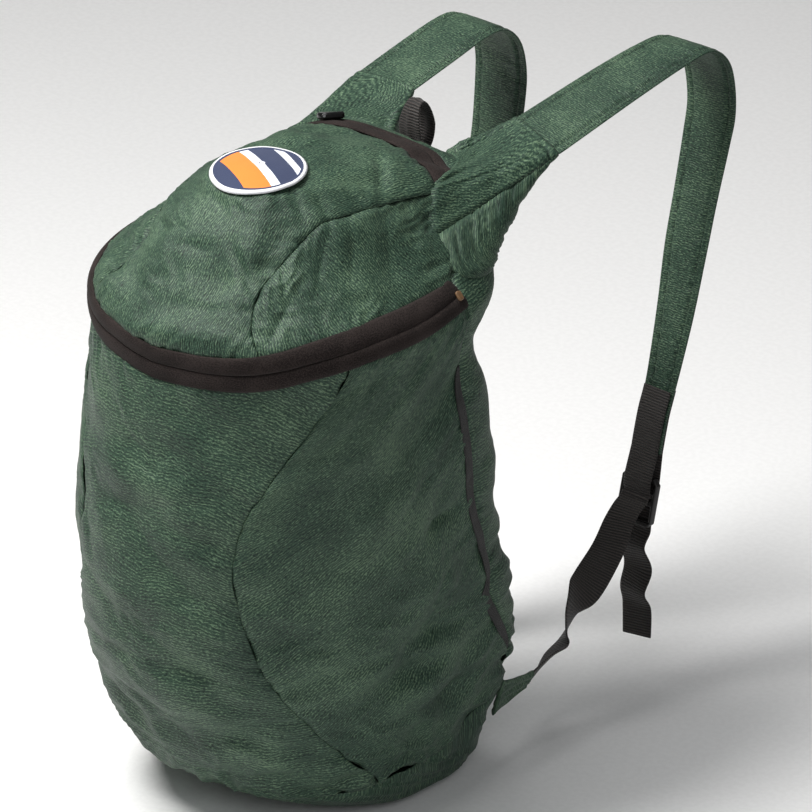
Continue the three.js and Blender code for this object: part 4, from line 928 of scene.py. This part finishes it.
# Each finish: what makes it, its material's name, and what that takes
FINISHES = {
    # Nylon is matte and thin; each panel is cut on its own grain, so its rows of wrinkles lie another way
    "front nylon": (crinkled_nylon, "Crinkled nylon front", {"seed": 1}),
    "side nylon": (crinkled_nylon, "Crinkled nylon side", {"seed": 5, "pitch": 1.9, "turn": math.radians(-24)}),
    "lid nylon": (crinkled_nylon, "Crinkled nylon lid", {
        "seed": 2, "pitch": 1.7, "dash": 6.0, "turn": math.radians(90), "waver": 2.2}),
    "lid side nylon": (crinkled_nylon, "Crinkled nylon lid side", {
        "seed": 4, "pitch": 1.9, "turn": math.radians(60)}),
    "strap nylon": (crinkled_nylon, "Strap nylon", {"seed": 3, "pitch": 1.7, "dash": 4.5, "waver": 0.8}),
    # Webbing and ribbon: the dark tone is their own black with painted shade between the ribs, and the light tone is
    # painted highlight on the ribs
    "webbing": (ribbed_webbing, "Ribbed webbing", {"dark": "#0d0b0a", "light": "#332d2a"}),
    "ribbon": (ribbed_webbing, "Woven ribbon", {"dark": "#0c0b0a", "light": "#1b1817", "pitch": 1.0}),
    "zip tape": (zip_tape, "Zip tape", {"dark": "#161211", "light": "#332c2a"}),
    # Spun polyester thread is matte, and drawn darker than the cloth that it sinks into: the darkness is painted
    # shade along the sunk stitch line
    "thread": (plain_finish, "Sewing thread", {
        "dark": "#0f1f16", "light": "#20362a", "roughness": 0.7, "grain": 0.4, "depth": 0.1}),
    "teal thread": (plain_finish, "Teal bar tack thread", {
        "dark": "#1d4247", "light": "#356a70", "roughness": 0.6, "grain": 0.4, "depth": 0.1, "Sheen_Weight": 0.2}),
    # Moulded acetal has a soft, broad highlight
    "acetal": (plain_finish, "Moulded acetal", {
        "dark": "#121111", "light": "#1c1a19", "roughness": 0.38, "grain": 0.5, "depth": 0.02}),
    # Baked enamel over die-cast zinc has a small, sharp highlight
    "enamel": (plain_finish, "Black enamel", {
        "dark": "#0b0b0c", "light": "#131214", "roughness": 0.16, "grain": 2.0, "depth": 0.01, "Metallic": 0.25,
        "Coat_Weight": 0.5}),
    # A stop moulded on the tape's end is dull and a little uneven
    "stop": (plain_finish, "Tan moulded stop", {
        "dark": "#5c452f", "light": "#745739", "roughness": 0.5, "grain": 1.0, "depth": 0.05}),
    # Uncoated background paper, flat and even
    "paper": (plain_finish, "Studio paper", {
        "dark": "#f2f2f2", "light": "#f6f6f6", "roughness": 0.9, "grain": 4.0, "depth": 0.01}),
    "patch": (woven_patch, "Woven patch", {}),
}


@cache
def finish(key):
    """The finish of that name, made once."""
    maker, name, values = FINISHES[key]
    return maker(name, **values)


# The bag's cloth


# Puckers at a panel's edges: depth, reach and period in millimetres, and a step of the seed
WALL_PUCKERS = {"left": (0.9, 20, 11, 20), "right": (0.9, 20, 11, 30), "bottom": (2.0, 26, 14, 40),
                "top": (1.4, 24, 10, 60)}
LID_PUCKERS = {"left": (1.3, 26, 13, 20), "right": (1.3, 26, 13, 30), "bottom": (1.2, 26, 11, 40),
               "top": (1.2, 22, 12, 60)}


def panel_relief(s, t, puckers, seed, depth, fine, broad, groove):
    """Grooves and puckers at a panel's four seams, and soft crumpling between them."""
    height = crumple(s, t, seed, fine * depth, broad * bag().crumple / MM * depth)
    for edge, (deep, reach, period, step) in puckers.items():
        height += edge_puckers(s, t, edge, seed + step, deep * depth, reach, period)
    for away in (s, s[:, -1:] - s, t, t[-1:] - t):
        height += seam_groove(away, *groove)
    return height


def wall_relief(seed):
    """Relief of a wall panel, with folds where the stuffed cloth sags on the base."""
    sag_depth, sag_reach = 2.4, 110

    def relief(s, t):
        sag = sag_depth * crease_noise(s / 40, t / 20, seed + 80) * np.exp(-t / sag_reach)
        return sag + panel_relief(s, t, WALL_PUCKERS, seed, 1.0, 0.5, 1.0, (1.5, 3.2))
    return relief


def lid_relief(seed, depth):
    return lambda s, t: panel_relief(s, t, LID_PUCKERS, seed, depth, 1.0, 1.3, (1.3, 2.8))


def base_relief(s, t):
    height = crumple(s, t, 300, 0.5, 1.0) + edge_puckers(s, t, "top", 340, 2.0, 30, 16)
    return height + seam_groove(t[-1:] - t, 1.5, 3.2)


class BACKPACK_OT_walls(bpy.types.Operator):
    """Make the front, side, back and base panels of crinkled nylon"""

    bl_idname = "backpack.walls"
    bl_label = "Body panels"

    def execute(self, context):
        nylon, top_row = finish("front nylon"), [("top", 2.4)]
        cloth_panel("front_cloth", front_places(170, 190), "front_panel", wall_relief(100), nylon, seams=top_row)
        for side, sign in SIDES.items():
            cloth_panel("side_cloth_" + side, side_places(170, 84), "side_panel_" + side,
                        wall_relief(225 - 25 * sign), finish("side nylon"), mirrored=sign < 0, seams=top_row)
        cloth_panel("back_cloth", back_places(200, 120), "back_panel", wall_relief(400), nylon)
        points, normals = cloth_point(*base_places(40, 260))
        points = points + normals * base_relief(*grid_spans(points))[..., None]
        base = grid_mesh("base_cloth", points, points[..., :2], closed=True)
        thicken(base)
        wear(base, nylon, stands_for=["base_panel"])
        return {"FINISHED"}


def lid_relief(seed, depth):
    def relief(s, t):
        height = crumple(s, t, seed, 1.0 * depth, 1.3 * bag().crumple / MM * depth)
        height += edge_puckers(s, t, "left", seed + 20, 1.3 * depth, 26, 13)
        height += edge_puckers(s, t, "right", seed + 30, 1.3 * depth, 26, 13)
        height += edge_puckers(s, t, "bottom", seed + 40, 1.2 * depth, 26, 11)
        height += edge_puckers(s, t, "top", seed + 60, 1.2 * depth, 22, 12)
        for away in (s, s[:, -1:] - s, t, t[-1:] - t):
            height += seam_groove(away, 1.3, 2.8)
        return height
    return relief


class BACKPACK_OT_lid(bpy.types.Operator):
    """Make the domed lid, its two sides and the yoke behind the top zip"""

    bl_idname = "backpack.lid"
    bl_label = "Lid"

    def execute(self, context):
        nylon, hem = finish("lid nylon"), [("bottom", 2.2), ("bottom", 6.0)]
        cloth_panel("lid_cloth", lid_places(130, 84), "lid_panel", lid_relief(500, 1.0), nylon,
                    seams=hem + [("top", 2.2)])
        for side, sign in SIDES.items():
            cloth_panel("lid_side_cloth_" + side, lid_side_places(66, 140), "lid_side_" + side,
                        lid_relief(625 - 25 * sign, 0.8), finish("lid side nylon"), mirrored=sign < 0,
                        seams=hem + [("top", 2.0), ("left", 2.0)])
        cloth_panel("yoke_cloth", yoke_places(20, 84), "yoke_panel", lid_relief(700, 0.4), nylon,
                    seams=[("bottom", 2.2)])
        return {"FINISHED"}


def tape_piece(name, places, crown, lift=0.0):
    """One zip tape: flat along its seam, rounded over the hidden coil along its middle."""
    points, normals = cloth_point(*places)
    s, t = grid_spans(points)
    share = t / t[-1:]
    height = lift + crown * np.sin(np.pi * np.clip(share, 0, 1)) ** 0.6
    points = points + normals * height[..., None]
    piece = grid_mesh(name, points, np.stack([s, t], -1))
    thicken(piece, TAPE_WALL)
    wear(piece, finish("zip tape"), stands_for=[name + "_tape"])


class BACKPACK_OT_zips(bpy.types.Operator):
    """Make the long front zip and the lid's own zip, with their sliders and end stop"""

    bl_idname = "backpack.zips"
    bl_label = "Zips"

    def execute(self, context):
        tape_piece("main_zip_lower", main_zip_places(8, 330, -0.06, 0.5), TAPE_CROWN)
        tape_piece("main_zip_upper", main_zip_places(8, 330, 0.5, 1.06), TAPE_CROWN)
        degrees, position = top_zip_places(16, 90)
        for name, rows in (("top_zip_front", slice(0, 9)), ("top_zip_back", slice(8, 17))):
            tape_piece(name, (degrees[rows], position[rows]), TOP_TAPE_CROWN, -TOP_TAPE_SINK)
        for node, look in (("main_zip_slider", "enamel"), ("top_zip_slider", "enamel"),
                           ("main_zip_end_stop", "stop")):
            small_block(node, look)
        return {"FINISHED"}


def small_block(node, look):
    """A small moulded or cast piece with rounded edges, in place of its plain node."""
    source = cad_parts[node]
    piece = bpy.data.objects.new(node + "_piece", source.data.copy())
    piece.data.materials.clear()
    bpy.context.scene.collection.objects.link(piece)
    bm = bmesh.new()
    bm.from_mesh(piece.data)
    bmesh.ops.remove_doubles(bm, verts=bm.verts, dist=1e-5)
    sharp = [edge for edge in bm.edges if edge.is_manifold and edge.calc_face_angle() > math.radians(25)]
    bmesh.ops.bevel(bm, geom=sharp, offset=0.5 * MM, offset_type="OFFSET", affect="EDGES", segments=3, profile=0.5,
                    material=-1, clamp_overlap=True)
    for face in bm.faces:
        face.smooth = True
    bm.to_mesh(piece.data)
    bm.free()
    return wear(piece, finish(look), stands_for=[node])


class BACKPACK_OT_patch(bpy.types.Operator):
    """Make the round woven patch on the crown of the lid"""

    bl_idname = "backpack.patch"
    bl_label = "Woven patch"

    def execute(self, context):
        rows, columns = 24, 96
        share, turn = shares(rows)[:, None], shares(columns)[None, :] * 2 * np.pi
        radius = PATCH_DIAMETER / 2 * np.maximum(share, 0.004)
        x, y = radius * np.cos(turn), radius * np.sin(turn)
        points, normals = cloth_point(*plan_place(x, PATCH_CENTRE_BACK * BODY_FRONT + y, 0.93))
        rim = np.clip((share - 0.9) / 0.1, 0, 1) + 0 * turn
        height = 1.5 + 0.9 * np.sin(np.pi * rim) + 0.25 * soft_noise(x / 14, y / 14, 5) - 1.2 * (rim >= 1)
        piece = grid_mesh("round_patch", points + normals * height[..., None], np.stack([x, y], -1), closed=True)
        thicken(piece, 0.9)
        wear(piece, finish("patch"), stands_for=["label_patch"])
        return {"FINISHED"}


class BACKPACK_OT_ribbons(bpy.types.Operator):
    """Make the plain woven ribbons sewn into the side seams"""

    bl_idname = "backpack.ribbons"
    bl_label = "Side ribbons"

    def execute(self, context):
        points, normals = cloth_point(*side_places(170, 84))
        s, t = grid_spans(points)
        rows = slice(18, 150)
        away, facing = (s[:, -1:] - s)[rows], normals[rows, -5:-4]
        share, across = shares(131)[:, None], shares(8)[None, :]
        width = RIBBON_WIDTH * np.clip(0.35 + 6 * np.minimum(share, 1 - share), 0, 1)
        pinch = 1 - 0.5 * np.exp(-((share - 0.33) / 0.03) ** 2)
        wanted = width * pinch * across
        ribbon = np.array([[np.interp(wanted[k], away[k][::-1], line[::-1, axis]) for axis in range(3)]
                           for k, line in enumerate(points[rows])]).swapaxes(1, 2)
        lift = 1.1 + 0.5 * soft_noise(share * 14, across * 1.5, 31) - 0.9 * (across < 0.01)
        ribbon = ribbon + facing * lift[..., None]
        uv = np.stack([wanted, t[rows][:, :1] + 0 * wanted], -1)
        for side, sign in SIDES.items():
            placed = ribbon if sign > 0 else ribbon * MIRROR
            piece = grid_mesh(f"side_ribbon_{side}_piece", placed, uv, flip=sign > 0)
            thicken(piece, 0.5)
            wear(piece, finish("ribbon"), stands_for=["side_ribbon_" + side])
        return {"FINISHED"}


def wing_points(side, rows, columns):
    """A grid of points round a wing, from the body's corner out to the strap, and its middle line."""
    sign, tip = SIDES[side], WING_TIPS[side]
    share, turn = shares(rows)[:, None], shares(columns)[None, :] * 2 * np.pi
    c, s = (np.sign(value) * np.abs(value) ** 0.55 for value in (np.cos(turn), np.sin(turn)))
    near_above, near_below, far_below, far_above = WING_ROOT
    near, above = ((c + 1) / 2)[..., None], ((s + 1) / 2)[..., None]
    edge = lerp(lerp(far_below, near_below, near), lerp(far_above, near_above, near), above)
    root_degrees = edge[..., 0] if sign > 0 else mirror_degrees(edge[..., 0])
    root, outward = cloth_point(root_degrees, position_of(SECTIONS, edge[..., 1]), 0.9)
    hem = np.clip((share - 0.95) / 0.05, 0, 1) ** 2
    half, deep = np.broadcast_arrays(sign * c * WING_WIDTH / 2, s * WING_TIP_DEPTH / 2 * (1 - 0.4 * hem))
    turned, tilt = math.radians(tip[3]), math.radians(tip[4])
    end = behind_back(tip, side) + np.stack([
        half * math.cos(turned) * math.cos(tilt) - deep * math.sin(tilt),
        half * math.sin(turned) * math.cos(tilt), half * math.sin(tilt) + deep], -1)
    chord, u = end - root, share[..., None]
    along_cloth = chord - (chord * outward).sum(-1, keepdims=True) * outward
    points = (root + chord * u * u * (3 - 2 * u) + WING_LEAVE * along_cloth * u * (1 - u) ** 2
              - WING_ARRIVE * chord * u * u * (1 - u))
    return points, points[:, :-1].mean(1, keepdims=True)


class BACKPACK_OT_wings(bpy.types.Operator):
    """Make the sleeves of cloth that join the bag's top corners to the straps"""

    bl_idname = "backpack.wings"
    bl_label = "Strap wings"

    def execute(self, context):
        rows, columns = 72, 150
        for side, seed in (("right", 800), ("left", 850)):
            points, middle = wing_points(side, rows, columns)
            normals = grid_normals(points, middle)
            s, t = grid_spans(points)
            share, turn = shares(rows)[:, None], shares(columns)[None, :] * 2 * np.pi
            corner, beside = (sum(np.exp(-((turn - at * np.pi) / width) ** 2) for at in (0.25, 0.75))
                              for width in (0.05, 0.16))
            fade = np.clip(4 * (1 - share), 0.15, 1)
            height = crumple(s, t, seed, 0.5, 1.0) * fade
            height += 0.7 * crease_noise(t / 70, s / 11, seed + 4) * fade * np.clip(1.2 - share, 0, 1)
            height += 1.3 * corner * fade - 0.8 * beside * fade - 0.7 * np.exp(-((share - 0.93) / 0.02) ** 2)
            height -= 2.6 * np.clip(1 - share / 0.05, 0, 1)
            points = points + normals * height[..., None]
            if SIDES[side] < 0:
                points, s = points[:, ::-1], s[:, ::-1]
            piece = grid_mesh("wing_cloth_" + side, points, np.stack([s, t], -1), closed=True)
            thicken(piece)
            wear(piece, finish("lid side nylon"), stands_for=["strap_wing_" + side])
            for number, column in enumerate((columns // 8 - 1, columns * 3 // 8 + 1)):
                stitch_row(f"wing_stitches_{side}_{number}", points[6:-3, column], normals[6:-3, column])
        return {"FINISHED"}


def strap_relief(seed):
    """Stitched channels with puckers along both edges of a strap, and soft creases over its middle."""
    def relief(across, run, face, half):
        edge = half - np.abs(across)
        inner, outer = STITCH_LINES
        groove = np.exp(-((edge - inner) / 1.3) ** 2) + 0.5 * np.exp(-((edge - outer) / 0.9) ** 2)
        pucker = soft_noise(run / 5.2, edge / 9 + 3 * face, seed + (across > 0)) * np.exp(-((edge - 6) / 4.5) ** 2)
        creased = np.clip(soft_noise(run / 60, across / 50, seed) + 0.4, 0, 1) * (edge > 5)
        creases = crease_noise(run / 15, across / 26, seed + 5) * creased
        ribs, waves = soft_noise(run / 3.4, across / 22, seed + 9), soft_noise(run / 30, across / 20, seed + 12)
        return -1.5 * groove + 0.8 * pucker + 0.35 * creases + 0.16 * ribs + 0.25 * waves
    return relief


class BACKPACK_OT_straps(bpy.types.Operator):
    """Make the two shoulder straps of folded nylon, arched as they are when worn"""

    bl_idname = "backpack.straps"
    bl_label = "Shoulder straps"

    def execute(self, context):
        for side, seed in (("right", 900), ("left", 950)):
            rows = placed_rows(STRAP_ROUTES[side], side)
            tucked = rows[0].copy()
            tucked[:3] -= unit(rows[1, :3] - rows[0, :3]) * STRAP_TUCK
            stations = even_rows(np.concatenate([[tucked], rows]), 420)
            strap = band_piece("strap_cloth_" + side, stations, STRAP_WIDTH, STRAP_WALL, strap_relief(seed), 40)
            wear(strap, finish("strap nylon"), stands_for=["strap_" + side])
            middle, across, outward, run = band_frame(stations)
            half, (inner, outer) = STRAP_WIDTH * stations[:, 5:6] / 2, STITCH_LINES
            for number, (sign, inset, face) in enumerate(
                    ((1, inner, 1), (-1, inner, 1), (1, outer, 1), (1, inner, -1), (-1, inner, -1))):
                path = middle + across * sign * (half - inset) + outward * face * (STRAP_WALL / 2 - 0.55)
                stitch_row(f"strap_stitches_{side}_{number}", path[6:-30], outward[6:-30] * face)
        return {"FINISHED"}


def lock_place(side, up, out):
    lean = math.radians(LOCK_LEAN)
    raised = np.array([0, math.sin(lean), math.cos(lean)])
    return behind_back(LOCK_PLACES[side], side) + raised * up + np.cross([1, 0, 0], raised) * out


def bar_loop(side, bar_at, degrees, fills_slot=False):
    """Webbing round a bar of the lock, bunched over the whole slot below where it fills the slot."""
    radius = math.hypot(LOCK_BAR, LOCK_WALL) / 2 + WEBBING_WALL / 2 + 0.35
    slack = max(0, LOCK_PITCH - 2 * radius - WEBBING_WALL / 2) + 2 if fills_slot else 0
    turns = [math.radians(turn) for turn in degrees]
    return [lock_place(side, bar_at + math.sin(turn) * (radius + slack * (turn < 0)), math.cos(turn) * radius)
            for turn in turns]


def flat_row(point, broad=1.0):
    return [*point, 0, 0, broad]


def webbing_relief(seed, wave=0.35):
    def relief(across, run, face, half):
        waves = wave * soft_noise(run / 16, across / 30, seed) + 0.12 * soft_noise(run / 5, across / 8, seed + 3)
        selvedge = 0.18 * np.exp(-((half - np.abs(across) - 1.2) / 0.8) ** 2)
        return face * waves + selvedge
    return relief


class BACKPACK_OT_webbing(bpy.types.Operator):
    """Make the ladder locks with the webbing that anchors them, the adjusters and their sewn tabs"""

    bl_idname = "backpack.webbing"
    bl_label = "Webbing and ladder locks"

    def execute(self, context):
        for side, seed in (("right", 20), ("left", 60)):
            small_block("ladder_lock_" + side, "acetal")
            self.anchor(side, seed)
            self.adjuster(side, seed)
            self.tab(side, seed)
        return {"FINISHED"}

    def anchor(self, side, seed):
        strap_end = even_rows(placed_rows(STRAP_ROUTES[side], side), 16, 0.9, 1.0)[:, :3]
        lift = np.array([0, STRAP_WALL / 2 + 0.35 + WEBBING_WALL / 2, 0])
        rows = [flat_row(point) for point in strap_end - lift]
        rows += [flat_row(point) for point in bar_loop(side, LOCK_PITCH, range(10, -191, -20), True)]
        rows += [flat_row(point) for point in (strap_end + lift)[::-1]]
        stations = even_rows(np.array(rows), 220)
        piece = band_piece("anchor_webbing_" + side, stations, WEBBING_WIDTH, WEBBING_WALL,
                           webbing_relief(seed, 0.2), 12)
        wear(piece, finish("webbing"), stands_for=["webbing_anchor_" + side])
        middle, across, outward, run = band_frame(stations)
        for name, start, rows_of in (("hem", 5.5, 2), ("bar_tack", 41, 4)):
            for k in range(rows_of):
                at = int(np.searchsorted(run, start + 1.4 * k))
                reach = np.linspace(-10.5, 10.5, 40)[:, None]
                path = middle[at] + across[at] * reach + outward[at] * (WEBBING_WALL / 2 + 0.15)
                stitch_row(f"anchor_{name}_{side}_{k}", path, np.repeat(outward[at][None], 40, 0), "teal thread",
                           pitch=2.6, size=(2.2, 0.8, 0.6))

    def adjuster(self, side, seed):
        start = lock_place(side, -LOCK_PITCH, -LOCK_WALL / 2 - WEBBING_WALL)
        tail = [[start[0] + SIDES[side] * aside * TAIL_DROP, start[1] + behind * TAIL_DROP,
                 start[2] - drop * TAIL_DROP, turn, 0, 1] for aside, behind, drop, turn in TAIL_ROUTES[side]]
        load = placed_rows(LOAD_ROUTES[side], side)
        rows = np.concatenate([load, [flat_row(point) for point in bar_loop(side, 0, range(0, 181, 30))],
                               [flat_row(start)], tail])
        stations = even_rows(rows, 460)
        piece = band_piece("adjuster_" + side, stations, WEBBING_WIDTH, WEBBING_WALL, webbing_relief(seed + 5), 14)
        wear(piece, finish("webbing"), stands_for=["adjuster_webbing_" + side])

    def tab(self, side, seed):
        degrees = TAB_DEGREES if side == "right" else mirror_degrees(TAB_DEGREES)
        position = position_of(SECTIONS, TAB_LEVEL)
        root, normal = cloth_point(np.float64(degrees), position, 2.5 if side == "right" else 1.8)
        steep = unit(np.cross(normal, np.cross([0, 0, 1], normal)))
        load = LOAD_ROUTES[side]
        tip, beyond = behind_back(load[0], side), behind_back(load[1], side)
        tip = tip + unit(tip - beyond) * 1.05
        turn, tilt = np.radians(load[0][3:5])
        tip_side = np.array([np.cos(turn) * np.cos(tilt), np.sin(turn) * np.cos(tilt), np.sin(tilt)])
        tip_side = tip_side * np.sign(tip_side @ steep)
        share = shares(60)[:, None]
        middle, sideways = lerp(root, tip, share), unit(lerp(steep, tip_side, share))
        turns = np.degrees(np.arctan2(sideways[:, 1], sideways[:, 0]))[:, None]
        tilts = np.degrees(np.arcsin(np.clip(sideways[:, 2], -1, 1)))[:, None]
        broad = lerp(TAB_ROOT_WIDTH, load[0][5] * WEBBING_WIDTH, share ** 0.6) / WEBBING_WIDTH

        def gathers(across, run, face, half):
            folds = crease_noise(across / half * 2.6 + face, run / 40, seed + 8)
            return 0.7 * folds + 0.5 * soft_noise(run / 9, across / 6, seed + 9)

        piece = band_piece("tab_cloth_" + side, np.hstack([middle, turns, tilts, broad]), WEBBING_WIDTH, TAB_WALL,
                           gathers, 36)
        wear(piece, finish("strap nylon"), stands_for=["webbing_tab_" + side])


class BACKPACK_OT_grab_loop(bpy.types.Operator):
    """Make the folded webbing loop that the bag is lifted by"""

    bl_idname = "backpack.grab_loop"
    bl_label = "Grab loop"

    def execute(self, context):
        root = cloth_point(np.float64(90), position_of(SECTIONS, BACK_SEAM[-1, 0] - 0.012), WEBBING_WALL)[0]
        turn = lerp(-0.5, 1.2, shares(150)) * np.pi
        rows = np.stack([0 * turn + GRAB_ASIDE, GRAB_DEPTH / 2 * (0.73 + np.cos(turn)),
                         GRAB_HEIGHT / 2 * (0.95 + np.sin(turn)), 0 * turn, 0 * turn,
                         lerp(1, 0.6, np.maximum(0, np.sin(turn)))], -1)
        rows[:, :3] += root

        def crease(across, run, face, half):
            return face * (-0.9 * np.exp(-(across / 2.2) ** 2) + 0.2 * soft_noise(run / 9, across / 9, 77))

        piece = band_piece("grab_webbing", rows, GRAB_WIDTH, WEBBING_WALL, crease, 24)
        wear(piece, finish("webbing"), stands_for=["grab_loop"])
        return {"FINISHED"}


class BACKPACK_OT_stage(bpy.types.Operator):
    """Make the pale floor, the soft studio light and the camera at the photograph's angle"""

    bl_idname = "backpack.stage"
    bl_label = "Studio"

    azimuth, elevation = math.radians(43.0), math.radians(25.7)
    pixels_per_mm, frame_pixels = 1.45, 812
    base_centre_pixel = (286, 770)
    camera_away, sensor = 9.0, 36.0
    looked_at, lit_at = Vector((0, 0.06, 0.24)), Vector((0, 0.03, 0.24))
    floor_half, floor_gap = 9.0, Vector((0, 0, -0.002))
    sky_strength = 0.13
    # Disk lamps: name, place from the bag's middle, size, share of the key's power, tint
    lamps = (
        ("Key", (-0.45, -0.58, 1.38), 0.7, 1.0, (1.0, 0.99, 0.97)),
        ("Top", (-0.3, 0.2, 2.4), 1.6, 0.55, (1.0, 1.0, 1.0)),
        ("Fill", (1.7, -1.2, 1.1), 1.2, 0.3, (0.96, 0.98, 1.0)),
    )

    def execute(self, context):
        right = Vector((math.cos(self.azimuth), math.sin(self.azimuth), 0))
        toward = Vector((math.sin(self.azimuth) * math.cos(self.elevation),
                         -math.cos(self.azimuth) * math.cos(self.elevation), math.sin(self.elevation)))
        up = toward.cross(right)
        middle = self.frame_pixels / 2
        across = (middle - self.base_centre_pixel[0]) / self.pixels_per_mm * MM
        rise = (self.base_centre_pixel[1] - middle) / self.pixels_per_mm * MM
        base_centre = Vector(to_metres(np.zeros(3)))
        target = base_centre + right * across + up * rise + toward * self.looked_at.dot(toward)
        camera_data = bpy.data.cameras.new("Camera")
        camera_data.sensor_width = self.sensor
        camera_data.lens = self.sensor * self.camera_away / (self.frame_pixels / self.pixels_per_mm * MM)
        camera_data.clip_end = 60.0
        camera = bpy.data.objects.new("Camera", camera_data)
        camera.matrix_world = Matrix.Translation(target + toward * self.camera_away) @ Matrix(
            (right, up, toward)).transposed().to_4x4()
        context.scene.collection.objects.link(camera)
        context.scene.camera = camera

        bm = bmesh.new()
        bmesh.ops.create_grid(bm, x_segments=8, y_segments=8, size=self.floor_half)
        floor = link_mesh("Floor", bm)
        floor.location = base_centre + self.floor_gap
        floor.data.materials.append(finish("paper"))

        for name, offset, size, share, tint in self.lamps:
            lamp_data = bpy.data.lights.new(name, "AREA")
            lamp_data.shape = "DISK"
            lamp_data.size, lamp_data.energy, lamp_data.color = size, bag().lamp_power * share, tint
            lamp = bpy.data.objects.new(name, lamp_data)
            lamp.location = base_centre + self.lit_at + Vector(offset)
            lamp.rotation_euler = (-Vector(offset)).to_track_quat("-Z", "Y").to_euler()
            context.scene.collection.objects.link(lamp)
        world = bpy.data.worlds.new("Studio")
        world.use_nodes = True
        background = world.node_tree.nodes["Background"]
        background.inputs["Color"].default_value = (1, 1, 1, 1)
        background.inputs["Strength"].default_value = self.sky_strength
        context.scene.world = world
        context.scene.view_settings.view_transform = "Standard"
        return {"FINISHED"}


class BACKPACK_PT_parts(bpy.types.Panel):
    """Lists the pieces of the backpack in the sidebar"""

    bl_label = "Backpack"
    bl_idname = "BACKPACK_PT_parts"
    bl_space_type = "VIEW_3D"
    bl_region_type = "UI"
    bl_category = "Backpack"

    def draw(self, context):
        settings = context.scene.backpack
        for name in settings.bl_rna.properties.keys():
            if name not in ("rna_type", "name"):
                self.layout.prop(settings, name)
        for operator in OPERATORS:
            self.layout.operator(operator.bl_idname)


OPERATORS = (BACKPACK_OT_stage, BACKPACK_OT_walls, BACKPACK_OT_lid, BACKPACK_OT_zips, BACKPACK_OT_patch,
             BACKPACK_OT_ribbons, BACKPACK_OT_wings, BACKPACK_OT_straps, BACKPACK_OT_webbing, BACKPACK_OT_grab_loop)
CLASSES = (BackpackProperties, *OPERATORS, BACKPACK_PT_parts)


def register():
    for part in CLASSES:
        bpy.utils.register_class(part)
    bpy.types.Scene.backpack = PointerProperty(type=BackpackProperties)


def unregister():
    del bpy.types.Scene.backpack
    for part in reversed(CLASSES):
        bpy.utils.unregister_class(part)


def main():
    register()
    for operator in OPERATORS:
        getattr(bpy.ops.backpack, operator.bl_idname.split(".")[1])()


if __name__ == "__main__":
    main()
